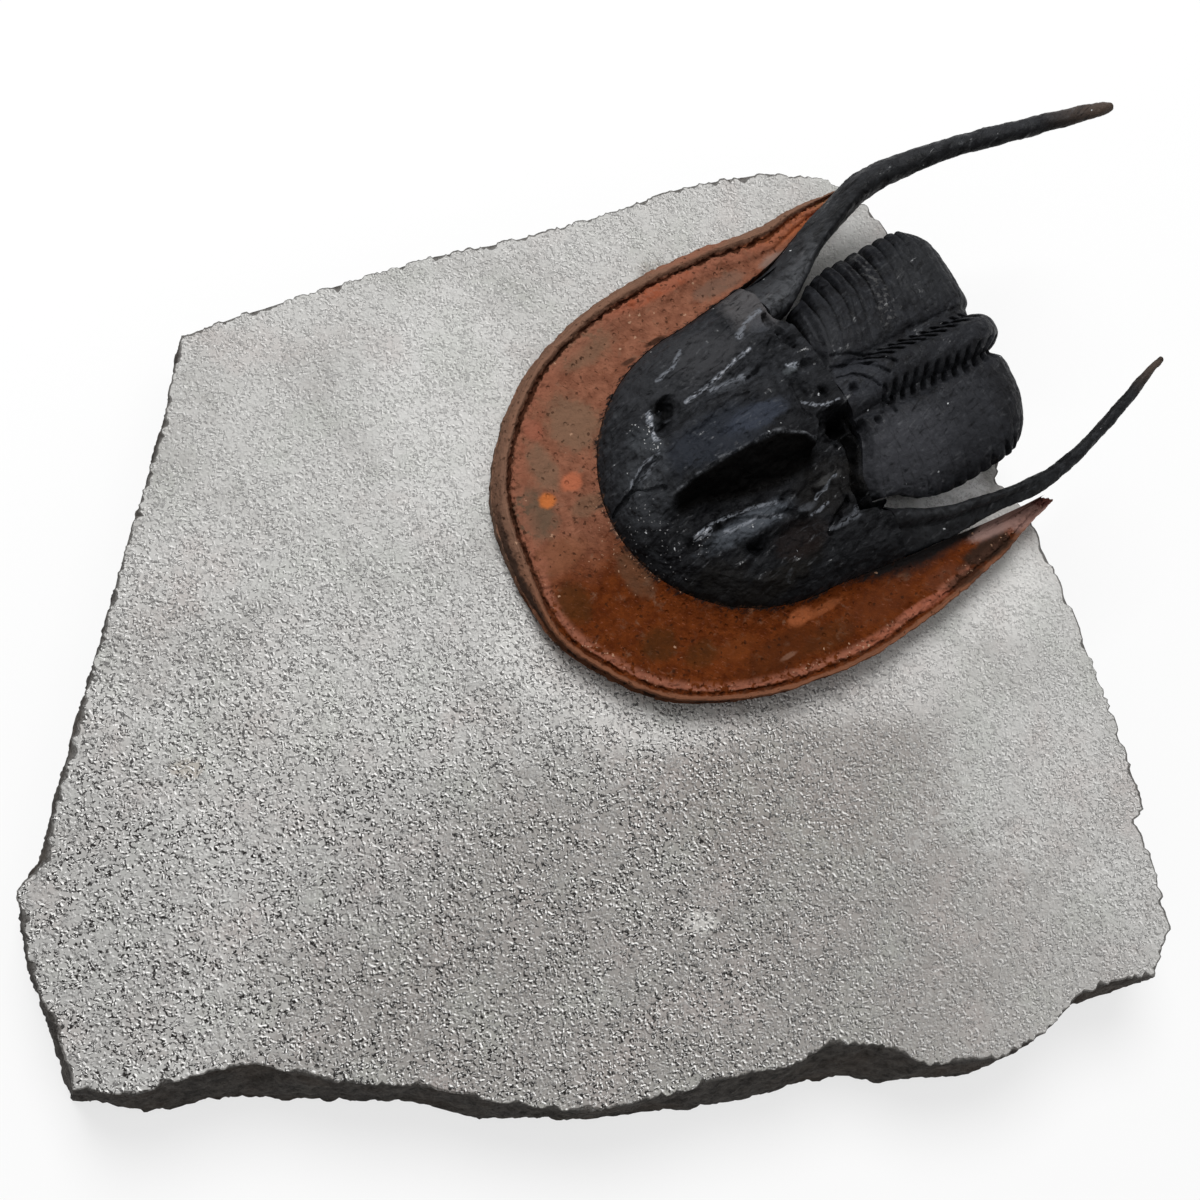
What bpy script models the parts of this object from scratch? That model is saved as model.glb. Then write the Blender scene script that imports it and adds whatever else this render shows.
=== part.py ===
"""A harpetid trilobite standing on its slab of limestone matrix."""

import math

import bmesh
import bpy
from mathutils import Vector

MM = 0.001
GAP = 0.3  # clearance between neighbouring pieces
SMOOTH_ANGLE = 40.0

# The slab: its flat underside is at z = 0, with the origin near its middle.
SLAB_THICKNESS = 11.0
SLAB_LIP = 0.7  # height of the narrow bevel below the top face
SLAB_LIP_OUT = 0.35
SLAB_WAIST = (0.45, 0.7)  # share of the height, and share of the flare there
CORE_MIDDLE = -38.9  # the stone left under the thorax, in the animal's frame
CORE_SIZE = (7.2, 9.2, 4.8)
# Top outline, counter-clockwise from the front left corner: x, y, and how far
# the broken side flares out by the time it reaches the underside.
SLAB_OUTLINE = [
    (-41.8, -39.2, 2.4),
    (-37.5, -39.8, 2.2),
    (-33.0, -38.4, 3.2),
    (-28.5, -37.6, 3.6),
    (-22.5, -39.2, 2.4),
    (-15.0, -39.8, 2.0),
    (-9.0, -41.2, 2.4),
    (-1.7, -42.3, 1.6),
    (4.0, -41.3, 2.2),
    (9.5, -40.0, 3.4),
    (15.2, -39.1, 3.2),
    (18.8, -37.5, 4.0),
    (23.5, -37.7, 3.8),
    (27.5, -39.4, 2.4),
    (33.5, -39.1, 2.2),
    (38.0, -37.1, 2.8),
    (41.5, -34.0, 2.8),
    (45.0, -32.8, 2.4),
    (48.6, -32.6, 2.0),
    (50.4, -28.6, 1.8),
    (49.4, -22.8, 1.8),
    (48.0, -19.1, 2.2),
    (49.1, -18.0, 1.8),
    (46.9, -10.1, 1.8),
    (45.2, -4.6, 2.0),
    (43.1, 1.6, 2.0),
    (40.3, 8.4, 2.2),
    (37.2, 12.3, 2.4),
    (38.4, 16.0, 1.8),
    (38.2, 20.5, 1.8),
    (36.2, 25.8, 1.8),
    (32.8, 30.6, 2.0),
    (28.8, 35.0, 2.0),
    (26.4, 38.8, 1.8),
    (22.6, 41.0, 1.6),
    (17.0, 41.4, 1.8),
    (9.0, 39.4, 2.2),
    (1.8, 36.2, 2.0),
    (-6.0, 33.3, 1.8),
    (-14.0, 31.0, 1.8),
    (-22.6, 27.7, 2.0),
    (-31.9, 24.0, 1.8),
    (-35.7, 22.3, 1.6),
    (-37.0, 14.0, 1.8),
    (-39.4, 4.0, 1.6),
    (-41.4, -5.1, 1.8),
    (-43.6, -15.0, 1.8),
    (-44.8, -22.0, 2.0),
    (-46.7, -24.4, 1.6),
    (-45.4, -30.2, 1.8),
    (-43.0, -35.4, 2.0),
]

# The animal's frame: origin at the front of its brim on the slab's top face,
# x towards its front (so the body lies at negative x), y to its left.
ANIMAL_PLACE = (-7.2, 0.4)
ANIMAL_HEADING = 210.0

# Brim stations from the front round to a tip: x and y of the outer edge, then
# of the inner edge, for the left side (y positive) and the right side.
BRIM_LEFT = [
    (0.0, 0.0, -9.05, 0.0),
    (-0.6, 4.9, -9.4, 2.9),
    (-2.6, 9.4, -10.6, 6.1),
    (-5.6, 13.5, -13.0, 9.3),
    (-10.4, 16.7, -16.3, 11.7),
    (-16.6, 18.8, -20.2, 13.15),
    (-23.5, 19.8, -25.4, 13.8),
    (-30.2, 19.5, -30.8, 14.6),
    (-35.4, 18.8, -35.6, 15.0),
    (-40.0, 17.9, -40.0, 15.5),
    (-43.6, 16.8, -43.4, 15.6),
    (-46.5, 16.1, -46.1, 15.6),
]
BRIM_RIGHT = [
    (0.0, 0.0, -9.05, 0.0),
    (-0.5, 4.9, -9.4, 2.9),
    (-2.3, 9.3, -10.6, 6.1),
    (-5.5, 13.2, -13.0, 9.3),
    (-10.4, 16.8, -16.3, 11.7),
    (-16.6, 19.0, -20.2, 13.15),
    (-23.5, 19.8, -25.4, 13.8),
    (-30.2, 19.7, -30.8, 14.5),
    (-35.4, 19.1, -35.6, 15.3),
    (-40.0, 19.1, -39.6, 16.8),
    (-43.2, 18.8, -42.4, 17.4),
    (-45.4, 18.4, -45.0, 17.8),
]
BRIM_STEPS = 2  # loft steps between two stations
# Upper plate across the brim: distance in from the outer edge, height. The
# last point is at the inner edge.
RIM_PROFILE = [(0.0, 1.5), (0.3, 2.3), (0.75, 2.9), (1.35, 3.05), (1.8, 2.35), (2.5, 2.6)]
BRIM_INNER_HEIGHT = 3.1
UPPER_BASE = 1.5
LOWER_TOP = 1.2
LOWER_PROFILE = [(0.2, 0.3), (0.0, 0.6), (0.0, 1.2)]
RIM_SHARE = 0.7  # most of the brim's width that the rim may take near the tips

# The head shield.
HEAD_MIDDLE = -24.0  # x of its widest part, where the front ellipse ends
HEAD_LENGTH = 14.5  # from there to the front
HEAD_HALF_WIDTH = 13.2
HEAD_REAR = -31.0
HEAD_WIDENING = 0.13  # half width gained per mm behind the middle
HEAD_EDGE = 3.4  # height of the shield's edge
HEAD_RISE = 4.1
HEAD_FULLNESS = 0.7  # below 1 the dome rises faster from its edge
HEAD_NOSE = 0.15  # how far the first section stands behind the front
HEAD_CROWDING = 1.25  # sections stand closer together towards the front
GLABELLA_FRONT = -13.2
GLABELLA_REAR = -27.6
GLABELLA_MIDDLE = -0.7  # it leans a little to the right
GLABELLA_HALF_WIDTH = 3.9
GLABELLA_RISE = 2.7
EYE_PLACE = (-18.2, 6.9)
EYE_RADIUS = 1.5
EYE_RISE = 0.8
NECK_MIDDLE = -29.6  # the ring at the back of the head, on the midline
NECK_LENGTH = 1.9
NECK_HALF_WIDTH = 5.0
NECK_RISE = 2.0
HEAD_STATIONS = 14
HEAD_POINTS = 18

# Horn stations: x, inner y, outer y, lowest and highest point.
HORN_LEFT = [
    (-31.3, 9.3, 14.0, 0.5, 5.6),
    (-33.5, 10.6, 14.3, 0.7, 5.3),
    (-36.0, 11.8, 14.6, 1.3, 5.4),
    (-39.0, 12.9, 15.0, 2.2, 5.7),
    (-42.0, 13.8, 15.2, 3.6, 6.1),
    (-45.0, 13.9, 15.1, 4.9, 6.4),
    (-48.0, 13.6, 14.8, 5.6, 6.9),
    (-51.5, 12.8, 13.95, 6.1, 7.3),
    (-55.0, 11.8, 12.9, 6.8, 7.9),
    (-58.3, 10.7, 11.6, 7.5, 8.4),
    (-60.4, 10.3, 10.8, 8.1, 8.6),
]
HORN_RIGHT = [
    (-31.3, 9.6, 13.9, 0.5, 6.0),
    (-33.5, 11.0, 14.2, 0.7, 5.9),
    (-36.0, 12.4, 15.0, 1.3, 6.2),
    (-39.0, 13.8, 16.2, 2.3, 6.8),
    (-42.0, 14.9, 17.0, 3.7, 7.6),
    (-45.0, 15.6, 17.5, 5.6, 8.5),
    (-48.5, 15.3, 17.0, 7.4, 9.4),
    (-53.0, 14.5, 16.1, 8.8, 10.5),
    (-58.0, 13.1, 14.7, 9.9, 11.5),
    (-63.5, 11.6, 13.0, 11.0, 12.5),
    (-67.4, 11.0, 11.6, 11.9, 12.5),
]
# A horn's section, as fractions across (inner to outer) and up.
HORN_SECTION = [
    (0.1, 0.15),
    (0.0, 0.6),
    (0.2, 0.95),
    (0.45, 1.0),
    (0.8, 0.75),
    (1.0, 0.4),
    (0.85, 0.05),
    (0.45, 0.0),
]
HORN_STEPS = 2  # loft steps between two stations

# The thorax: equal segments along a path that runs back level and then curls
# down through a quarter turn behind the body.
SEGMENTS = 15
TAIL_TAPER_START = 10  # segments behind this one narrow towards the tail
TAIL_TAPER = 0.06
TAIL_LENGTH = 1.1
TAIL_WIDTHS = [(0.0, 0.62), (0.6, 0.5), (1.0, 0.25)]
PITCH = 1.35
THORAX_FRONT = -31.5
CURL_CENTRE = (-44.0, 4.4)  # x and height
CURL_RADIUS = 3.7  # of the furrow line on the outside
# One segment across, from the midline out to the left tip: y, and height above
# the furrow line.
SEGMENT_TOP = [
    (0.0, 1.95),
    (1.2, 1.6),
    (2.0, 0.7),
    (2.4, 0.0),
    (3.3, 0.4),
    (5.6, 0.25),
    (7.6, -0.5),
    (9.3, -1.7),
    (10.5, -2.9),
    (11.2, -3.9),
]
SEGMENT_THICKNESS = 1.1
SEGMENT_HOLLOW = (0.3, 0.25)  # highest underside point, and how far it draws in
RIGHT_WIDENING = 1.08  # the right side is spread a little wider than the left
CURLED_DROOP = 0.5  # how much of the tips' droop is left in the curl
CURL_ONSET = 0.4  # share of the level run after which the tips begin to lift
# Share of the full width that each of the first segments reaches.
FRONT_TAPER = [0.74, 0.84, 0.92, 0.97]

MATERIALS = {
    "limestone": ((0.48, 0.47, 0.45), 0.95),
    "brim_rust": ((0.22, 0.07, 0.03), 0.75),
    "brim_edge": ((0.12, 0.07, 0.05), 0.8),
    "black_shell": ((0.022, 0.023, 0.028), 0.42),
    "horn_shell": ((0.03, 0.03, 0.035), 0.5),
    "segment_shell": ((0.03, 0.031, 0.036), 0.45),
}


def clear_scene():
    for item in list(bpy.data.objects):
        bpy.data.objects.remove(item, do_unlink=True)


def make_collection(name):
    collection = bpy.data.collections.new(name)
    bpy.context.scene.collection.children.link(collection)
    return collection


def make_material(name):
    colour, roughness = MATERIALS[name]
    material = bpy.data.materials.new(name)
    material.use_nodes = True
    shader = material.node_tree.nodes["Principled BSDF"]
    shader.inputs["Base Color"].default_value = (*colour, 1.0)
    shader.inputs["Roughness"].default_value = roughness
    shader.inputs["Metallic"].default_value = 0.0
    return material


def add_piece(builder, name, collection, material, parent=None):
    """Turns a bmesh, whose points are in millimetres, into a named object."""
    bmesh.ops.scale(builder, vec=(MM, MM, MM), verts=builder.verts)
    bmesh.ops.recalc_face_normals(builder, faces=builder.faces)
    mesh = bpy.data.meshes.new(name)
    builder.to_mesh(mesh)
    builder.free()
    mesh.shade_smooth()
    mesh.set_sharp_from_angle(angle=math.radians(SMOOTH_ANGLE))
    mesh.materials.append(material)
    item = bpy.data.objects.new(name, mesh)
    collection.objects.link(item)
    item.parent = parent
    return item


def loft(rings):
    """Joins closed rings of equal length with quads and caps both ends."""
    builder = bmesh.new()
    loops = [[builder.verts.new(point) for point in ring] for ring in rings]
    for first, second in zip(loops, loops[1:]):
        for i in range(len(first)):
            j = (i + 1) % len(first)
            builder.faces.new((first[i], first[j], second[j], second[i]))
    for end in (loops[0], loops[-1]):
        cap = builder.faces.new(end)
        bmesh.ops.triangulate(builder, faces=[cap])
    return builder


def spline(points, steps):
    """Catmull-Rom points through the given ones, with steps per span."""
    padded = [points[0], *points, points[-1]]
    path = []
    for k in range(len(points) - 1):
        for step in range(steps):
            t = step / steps
            row = []
            for a, b, c, d in zip(*padded[k : k + 4]):
                linear = c - a
                square = 2 * a - 5 * b + 4 * c - d
                cube = 3 * b - a - 3 * c + d
                row.append(0.5 * (2 * b + linear * t + square * t**2 + cube * t**3))
            path.append(tuple(row))
    path.append(points[-1])
    return path


def slab_ring(height, spread, lip):
    """The slab's outline at one height, moved out by a share of its flare."""
    ring = []
    count = len(SLAB_OUTLINE)
    for index, (x, y, flare) in enumerate(SLAB_OUTLINE):
        before = Vector(SLAB_OUTLINE[index - 1][:2])
        after = Vector(SLAB_OUTLINE[(index + 1) % count][:2])
        run = (after - before).normalized()
        reach = lip + (flare - lip) * spread
        ring.append((x + run.y * reach, y - run.x * reach, height))
    return ring


def build_slab(collection, cutters, animal):
    """The stone, with the low core that it keeps under the arched thorax."""
    rings = [
        slab_ring(0.0, 1.0, SLAB_LIP_OUT),
        slab_ring(SLAB_THICKNESS * SLAB_WAIST[0], SLAB_WAIST[1], SLAB_LIP_OUT),
        slab_ring(SLAB_THICKNESS - SLAB_LIP, 0.0, SLAB_LIP_OUT),
        slab_ring(SLAB_THICKNESS, 0.0, 0.0),
    ]
    stone = make_material("limestone")
    slab = add_piece(loft(rings), "matrix_slab", collection, stone)
    dome = bmesh.new()
    bmesh.ops.create_uvsphere(dome, u_segments=20, v_segments=10, radius=1.0)
    bmesh.ops.scale(dome, vec=CORE_SIZE, verts=dome.verts)
    bmesh.ops.translate(dome, vec=(CORE_MIDDLE, 0.0, 0.0), verts=dome.verts)
    core = add_piece(dome, "core_form", cutters, stone, animal)
    core.hide_render = True
    core.display_type = "WIRE"
    join = slab.modifiers.new("thorax core", "BOOLEAN")
    join.operation = "UNION"
    join.solver = "EXACT"
    join.object = core


def brim_stations():
    """Outer and inner points round the brim, from the left tip to the right."""
    left = spline(BRIM_LEFT, BRIM_STEPS)
    right = spline(BRIM_RIGHT, BRIM_STEPS)
    mirrored = [(oa, -ol, ia, -il) for oa, ol, ia, il in right[1:]]
    return left[::-1] + mirrored


def brim_ring(station, profile, inner_height, base):
    """One closed section of a brim plate, from its outer to its inner edge."""
    outer = Vector(station[:2])
    inner = Vector(station[2:])
    width = (inner - outer).length
    across = (inner - outer).normalized()
    widest = max(distance for distance, height in profile)
    squeeze = min(1.0, RIM_SHARE * width / widest)
    ring = []
    for distance, height in profile:
        point = outer + across * distance * squeeze
        ring.append((point.x, point.y, height))
    ring.append((inner.x, inner.y, inner_height))
    ring.append((inner.x, inner.y, base))
    return ring


def build_brim(collection, animal):
    """The two plates of the brim, which meet at the seam round its outer wall."""
    upper = []
    lower = []
    for station in brim_stations():
        upper.append(brim_ring(station, RIM_PROFILE, BRIM_INNER_HEIGHT, UPPER_BASE))
        lower.append(brim_ring(station, LOWER_PROFILE, LOWER_TOP, GAP))
    add_piece(loft(upper), "brim_upper_plate", collection, make_material("brim_rust"), animal)
    add_piece(loft(lower), "brim_lower_plate", collection, make_material("brim_edge"), animal)


def head_half_width(x):
    if x < HEAD_MIDDLE:
        return HEAD_HALF_WIDTH + HEAD_WIDENING * (HEAD_MIDDLE - x)
    reach = (x - HEAD_MIDDLE) / HEAD_LENGTH
    return HEAD_HALF_WIDTH * math.sqrt(max(0.0, 1.0 - reach**2))


def bump(distance):
    """A smooth hill: 1 at distance 0 and 0 from distance 1 on."""
    return (1.0 - min(1.0, distance) ** 2) ** 2


def head_height(x, y):
    """Height of the shield's surface above the slab's top face."""
    reach = max(0.0, x - HEAD_MIDDLE) / HEAD_LENGTH
    side = y / (HEAD_HALF_WIDTH + HEAD_WIDENING * max(0.0, HEAD_MIDDLE - x))
    inside = max(0.0, 1.0 - reach**2 - side**2)
    height = HEAD_EDGE + HEAD_RISE * inside**HEAD_FULLNESS
    middle = (GLABELLA_FRONT + GLABELLA_REAR) / 2.0
    along = (x - middle) / (GLABELLA_FRONT - middle)
    across = (y - GLABELLA_MIDDLE) / GLABELLA_HALF_WIDTH
    height += GLABELLA_RISE * bump(abs(along) ** 1.5) ** 0.5 * bump(abs(across))
    eye = math.hypot(x - EYE_PLACE[0], abs(y) - EYE_PLACE[1]) / EYE_RADIUS
    height += EYE_RISE * bump(eye)
    neck = math.hypot((x - NECK_MIDDLE) / NECK_LENGTH, y / NECK_HALF_WIDTH)
    height += NECK_RISE * bump(neck)
    return height


def build_head(collection, animal):
    """The head shield, filled with stone down to the slab."""
    rings = []
    front = HEAD_MIDDLE + HEAD_LENGTH - HEAD_NOSE
    for step in range(HEAD_STATIONS + 1):
        x = front + (HEAD_REAR - front) * (step / HEAD_STATIONS) ** HEAD_CROWDING
        half = head_half_width(x)
        ring = [(x, half, GAP)]
        for k in range(HEAD_POINTS + 1):
            y = half * math.cos(math.pi * k / HEAD_POINTS)
            ring.append((x, y, head_height(x, y)))
        ring.append((x, -half, GAP))
        rings.append(ring)
    add_piece(loft(rings), "head_shield", collection, make_material("black_shell"), animal)


def build_horn(name, stations, side, collection, animal, material):
    """A free-standing prolongation of the head's rear corner."""
    rings = []
    for x, inner, outer, low, high in spline(stations, HORN_STEPS):
        ring = []
        for across, up in HORN_SECTION:
            y = inner + (outer - inner) * across
            ring.append((x, side * y, low + (high - low) * up))
        rings.append(ring)
    add_piece(loft(rings), name, collection, material, animal)


def thorax_frame(distance):
    """Position and tilt at a distance along the thorax's furrow line."""
    level = THORAX_FRONT - CURL_CENTRE[0]
    arc = CURL_RADIUS * math.pi / 2.0
    top = CURL_CENTRE[1] + CURL_RADIUS
    if distance < level:
        return (THORAX_FRONT - distance, top, 0.0)
    if distance < level + arc:
        turn = (distance - level) / CURL_RADIUS
        x = CURL_CENTRE[0] - CURL_RADIUS * math.sin(turn)
        return (x, CURL_CENTRE[1] + CURL_RADIUS * math.cos(turn), turn)
    drop = distance - level - arc
    return (CURL_CENTRE[0] - CURL_RADIUS, CURL_CENTRE[1] - drop, math.pi / 2.0)


def segment_ring(distance, width):
    """A closed section across the thorax at one distance along it."""
    x, z, turn = thorax_frame(distance)
    level = THORAX_FRONT - CURL_CENTRE[0]
    onset = CURL_ONSET * level
    curled = min(1.0, max(0.0, (distance - onset) / (level - onset)))
    droop = (1.0 + (CURLED_DROOP - 1.0) * curled) * width**2
    ceiling, draw = SEGMENT_HOLLOW
    outer = []
    for y, lift in SEGMENT_TOP:
        outer.append((y * width, lift * (droop if lift < 0.0 else 1.0)))
    inner = []
    for y, lift in outer[1:]:
        reach = max(0.0, y - draw * SEGMENT_THICKNESS)
        inner.append((reach, min(lift, ceiling) - SEGMENT_THICKNESS))
    left = outer + inner[::-1]
    right = [(-y * RIGHT_WIDENING, lift) for y, lift in left[:0:-1]]
    ring = left + [(0.0, inner[0][1])] + right
    back = math.sin(turn)
    rise = math.cos(turn)
    return [(x - back * lift, y, z + rise * lift) for y, lift in ring]


def build_segment(number, collection, animal, material):
    start = PITCH * number + GAP / 2.0
    end = PITCH * (number + 1) - GAP / 2.0
    width = FRONT_TAPER[number] if number < len(FRONT_TAPER) else 1.0
    width -= max(0.0, number - TAIL_TAPER_START) * TAIL_TAPER
    rings = [segment_ring(start, width), segment_ring(end, width)]
    name = f"thorax_segment_{number + 1:02d}"
    add_piece(loft(rings), name, collection, material, animal)


def build_tail(collection, animal, material):
    """The small end plate, hanging below the last segment."""
    start = PITCH * SEGMENTS + GAP / 2.0
    rings = []
    for share, width in TAIL_WIDTHS:
        rings.append(segment_ring(start + TAIL_LENGTH * share, width))
    add_piece(loft(rings), "tail_plate", collection, material, animal)


def main():
    clear_scene()
    fossil = make_collection("trilobite_fossil")
    cutters = make_collection("cutters")
    animal = bpy.data.objects.new("animal_frame", None)
    fossil.objects.link(animal)
    animal.location = (ANIMAL_PLACE[0] * MM, ANIMAL_PLACE[1] * MM, SLAB_THICKNESS * MM)
    animal.rotation_euler = (0.0, 0.0, math.radians(ANIMAL_HEADING))
    build_slab(fossil, cutters, animal)
    build_brim(fossil, animal)
    build_head(fossil, animal)
    horn = make_material("horn_shell")
    build_horn("left_horn", HORN_LEFT, 1.0, fossil, animal, horn)
    build_horn("right_horn", HORN_RIGHT, -1.0, fossil, animal, horn)
    shell = make_material("segment_shell")
    for number in range(SEGMENTS):
        build_segment(number, fossil, animal, shell)
    build_tail(fossil, animal, shell)


main()
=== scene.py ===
import math

import bmesh
import bpy
import numpy as np
from mathutils import Matrix, Vector, noise


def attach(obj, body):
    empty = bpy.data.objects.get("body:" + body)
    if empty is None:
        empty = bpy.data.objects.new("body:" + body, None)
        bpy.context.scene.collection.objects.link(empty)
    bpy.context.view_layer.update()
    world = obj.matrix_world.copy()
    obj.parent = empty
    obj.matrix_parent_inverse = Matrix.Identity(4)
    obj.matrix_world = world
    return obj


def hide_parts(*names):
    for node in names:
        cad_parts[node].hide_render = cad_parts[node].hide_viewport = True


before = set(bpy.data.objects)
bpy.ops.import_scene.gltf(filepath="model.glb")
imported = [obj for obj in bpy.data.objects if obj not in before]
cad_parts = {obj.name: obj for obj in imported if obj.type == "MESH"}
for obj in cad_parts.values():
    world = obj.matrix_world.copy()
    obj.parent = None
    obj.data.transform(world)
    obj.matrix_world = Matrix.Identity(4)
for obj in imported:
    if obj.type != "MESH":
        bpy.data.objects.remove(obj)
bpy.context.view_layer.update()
mm = 0.001

# The animal's own frame: its origin at the front of the brim on the slab's top
# face, x towards its front, y to its left. Sizes on the animal are in mm.
animal = {
    "slabTop": 11.0,
    "place": (-7.2, 0.4),
    "heading": 210.0,
}
animalToWorld = (
    Matrix.Translation((animal["place"][0] * mm, animal["place"][1] * mm, animal["slabTop"] * mm))
    @ Matrix.Rotation(math.radians(animal["heading"]), 4, "Z")
    @ Matrix.Scale(mm, 4)
)
millimetres = Matrix.Scale(mm, 4)
sharpAngle = 60.0  # degrees between faces from which an edge stays sharp


# Shaping helpers: each takes and gives whole arrays of values.

def hill(distance):  # 1 in the middle, 0 from distance 1 on
    return (1.0 - np.minimum(1.0, np.abs(distance)) ** 2) ** 2


def ramp(value, start, end):  # a smooth step from 0 at start to 1 at end
    share = np.clip((value - start) / (end - start), 0.0, 1.0)
    return share * share * (3.0 - 2.0 * share)


def ripple(points, size, seed=0):  # smooth noise from -1 to 1, its bumps about size apart
    spots = points / size + np.array([seed * 7.3, seed * 3.1, seed * 5.7])
    return np.array([noise.noise(spot) for spot in spots.tolist()])


def crumble(points, size, seed=0):  # rougher noise, about -1 to 1
    spots = points / size + np.array([seed * 4.9, seed * 8.3, seed * 2.1])
    return np.array([noise.fractal(spot, 0.7, 2.2, 4) for spot in spots.tolist()])


def pits(points, size, seed=0):  # distance to the nearest of scattered points, in sizes
    spots = points / size + np.array([seed * 3.7, seed * 6.1, seed * 9.4])
    return np.array([noise.voronoi(spot)[0][0] for spot in spots.tolist()])


def curveAt(stations, places):
    # points on a smooth curve through the stations; places count in stations from 0
    table = np.array(stations, dtype=float)
    last = len(table) - 1
    index = np.clip(places.astype(int), 0, last - 1)
    t = (places - index)[:, None]
    before, here = table[np.maximum(index - 1, 0)], table[index]
    after, beyond = table[index + 1], table[np.minimum(index + 2, last)]
    square = 2 * before - 5 * here + 4 * after - beyond
    cube = 3 * here - before - 3 * after + beyond
    return 0.5 * (2 * here + (after - before) * t + square * t ** 2 + cube * t ** 3)


def lineReach(x, y, line):  # distance to a bent line
    best = np.full(np.shape(x), 1000.0)
    for (startX, startY), (endX, endY) in zip(line, line[1:]):
        runX, runY = endX - startX, endY - startY
        share = ((x - startX) * runX + (y - startY) * runY) / (runX ** 2 + runY ** 2)
        share = np.clip(share, 0.0, 1.0)
        best = np.minimum(best, np.hypot(x - startX - runX * share, y - startY - runY * share))
    return best


def formHill(x, y, form):  # a long or round hill: x, y, length, width, turn in degrees
    dx, dy = x - form[0], y - form[1]
    c, s = math.cos(math.radians(form[4])), math.sin(math.radians(form[4]))
    return hill(np.hypot((dx * c + dy * s) / form[2], (dy * c - dx * s) / form[3]))


def sculpt(x, y, table):  # the height that a piece's forms and lines add up to at each place
    height = sum(form[5] * formHill(x, y, form) for form in table["forms"])
    return height + sum(rise * hill(lineReach(x, y, line) / width) for width, rise, line in table["lines"])


def levelPoints(x, y):
    return np.column_stack([x, y, np.zeros(len(x))])


def unitGrid(columns, rows):  # a flat grid from (0, 0) to (1, 1), and its points
    mesh = bmesh.new()
    bmesh.ops.create_grid(mesh, x_segments=columns, y_segments=rows, size=0.5)
    bmesh.ops.translate(mesh, vec=(0.5, 0.5, 0.0), verts=mesh.verts)
    return mesh, pointsOf(mesh)


def pointsOf(mesh):
    return np.array([vert.co[:] for vert in mesh.verts])


def movePoints(mesh, *columns):
    for vert, place in zip(mesh.verts, np.column_stack(columns).tolist()):
        vert.co = place


def keepMask(mesh, name, values):
    layer = mesh.verts.layers.float.get(name) or mesh.verts.layers.float.new(name)
    for vert, value in zip(mesh.verts, values.tolist()):
        vert[layer] = value


def maskOf(mesh, name):
    layer = mesh.verts.layers.float[name]
    return np.array([vert[layer] for vert in mesh.verts])


def openEdges(mesh):
    return [edge for edge in mesh.edges if edge.is_boundary]


def extrudeEdges(mesh, edges):  # gives the new open edges and their points
    made = bmesh.ops.extrude_edge_only(mesh, edges=edges)["geom"]
    kinds = (bmesh.types.BMEdge, bmesh.types.BMVert)
    return [[item for item in made if isinstance(item, kind)] for kind in kinds]


def closeTube(mesh):  # joins a wrapped grid's long edges and fills its ends
    bmesh.ops.remove_doubles(mesh, verts=mesh.verts, dist=1e-5)
    bmesh.ops.holes_fill(mesh, edges=openEdges(mesh), sides=0)
    bmesh.ops.recalc_face_normals(mesh, faces=mesh.faces)
    mesh.normal_update()


def swell(mesh, lift):  # moves every point along its normal
    normals = np.array([vert.normal[:] for vert in mesh.verts])
    movePoints(mesh, pointsOf(mesh) + normals * lift[:, None])


def newItem(name, data):
    item = bpy.data.objects.new(name, data)
    bpy.context.scene.collection.objects.link(item)
    return item


def finishPiece(mesh, name, material, node, place=animalToWorld):
    # turns a bmesh in millimetres into a piece that rides on the model
    bmesh.ops.transform(mesh, matrix=place, verts=mesh.verts)
    bmesh.ops.recalc_face_normals(mesh, faces=mesh.faces)
    data = bpy.data.meshes.new(name)
    mesh.to_mesh(data)
    mesh.free()
    data.shade_smooth()
    data.set_sharp_from_angle(angle=math.radians(sharpAngle))
    data.materials.append(material)
    piece = newItem(name, data)
    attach(piece, "root")
    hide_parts(node)
    print(f"{name}: {len(data.polygons)} faces")


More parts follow.
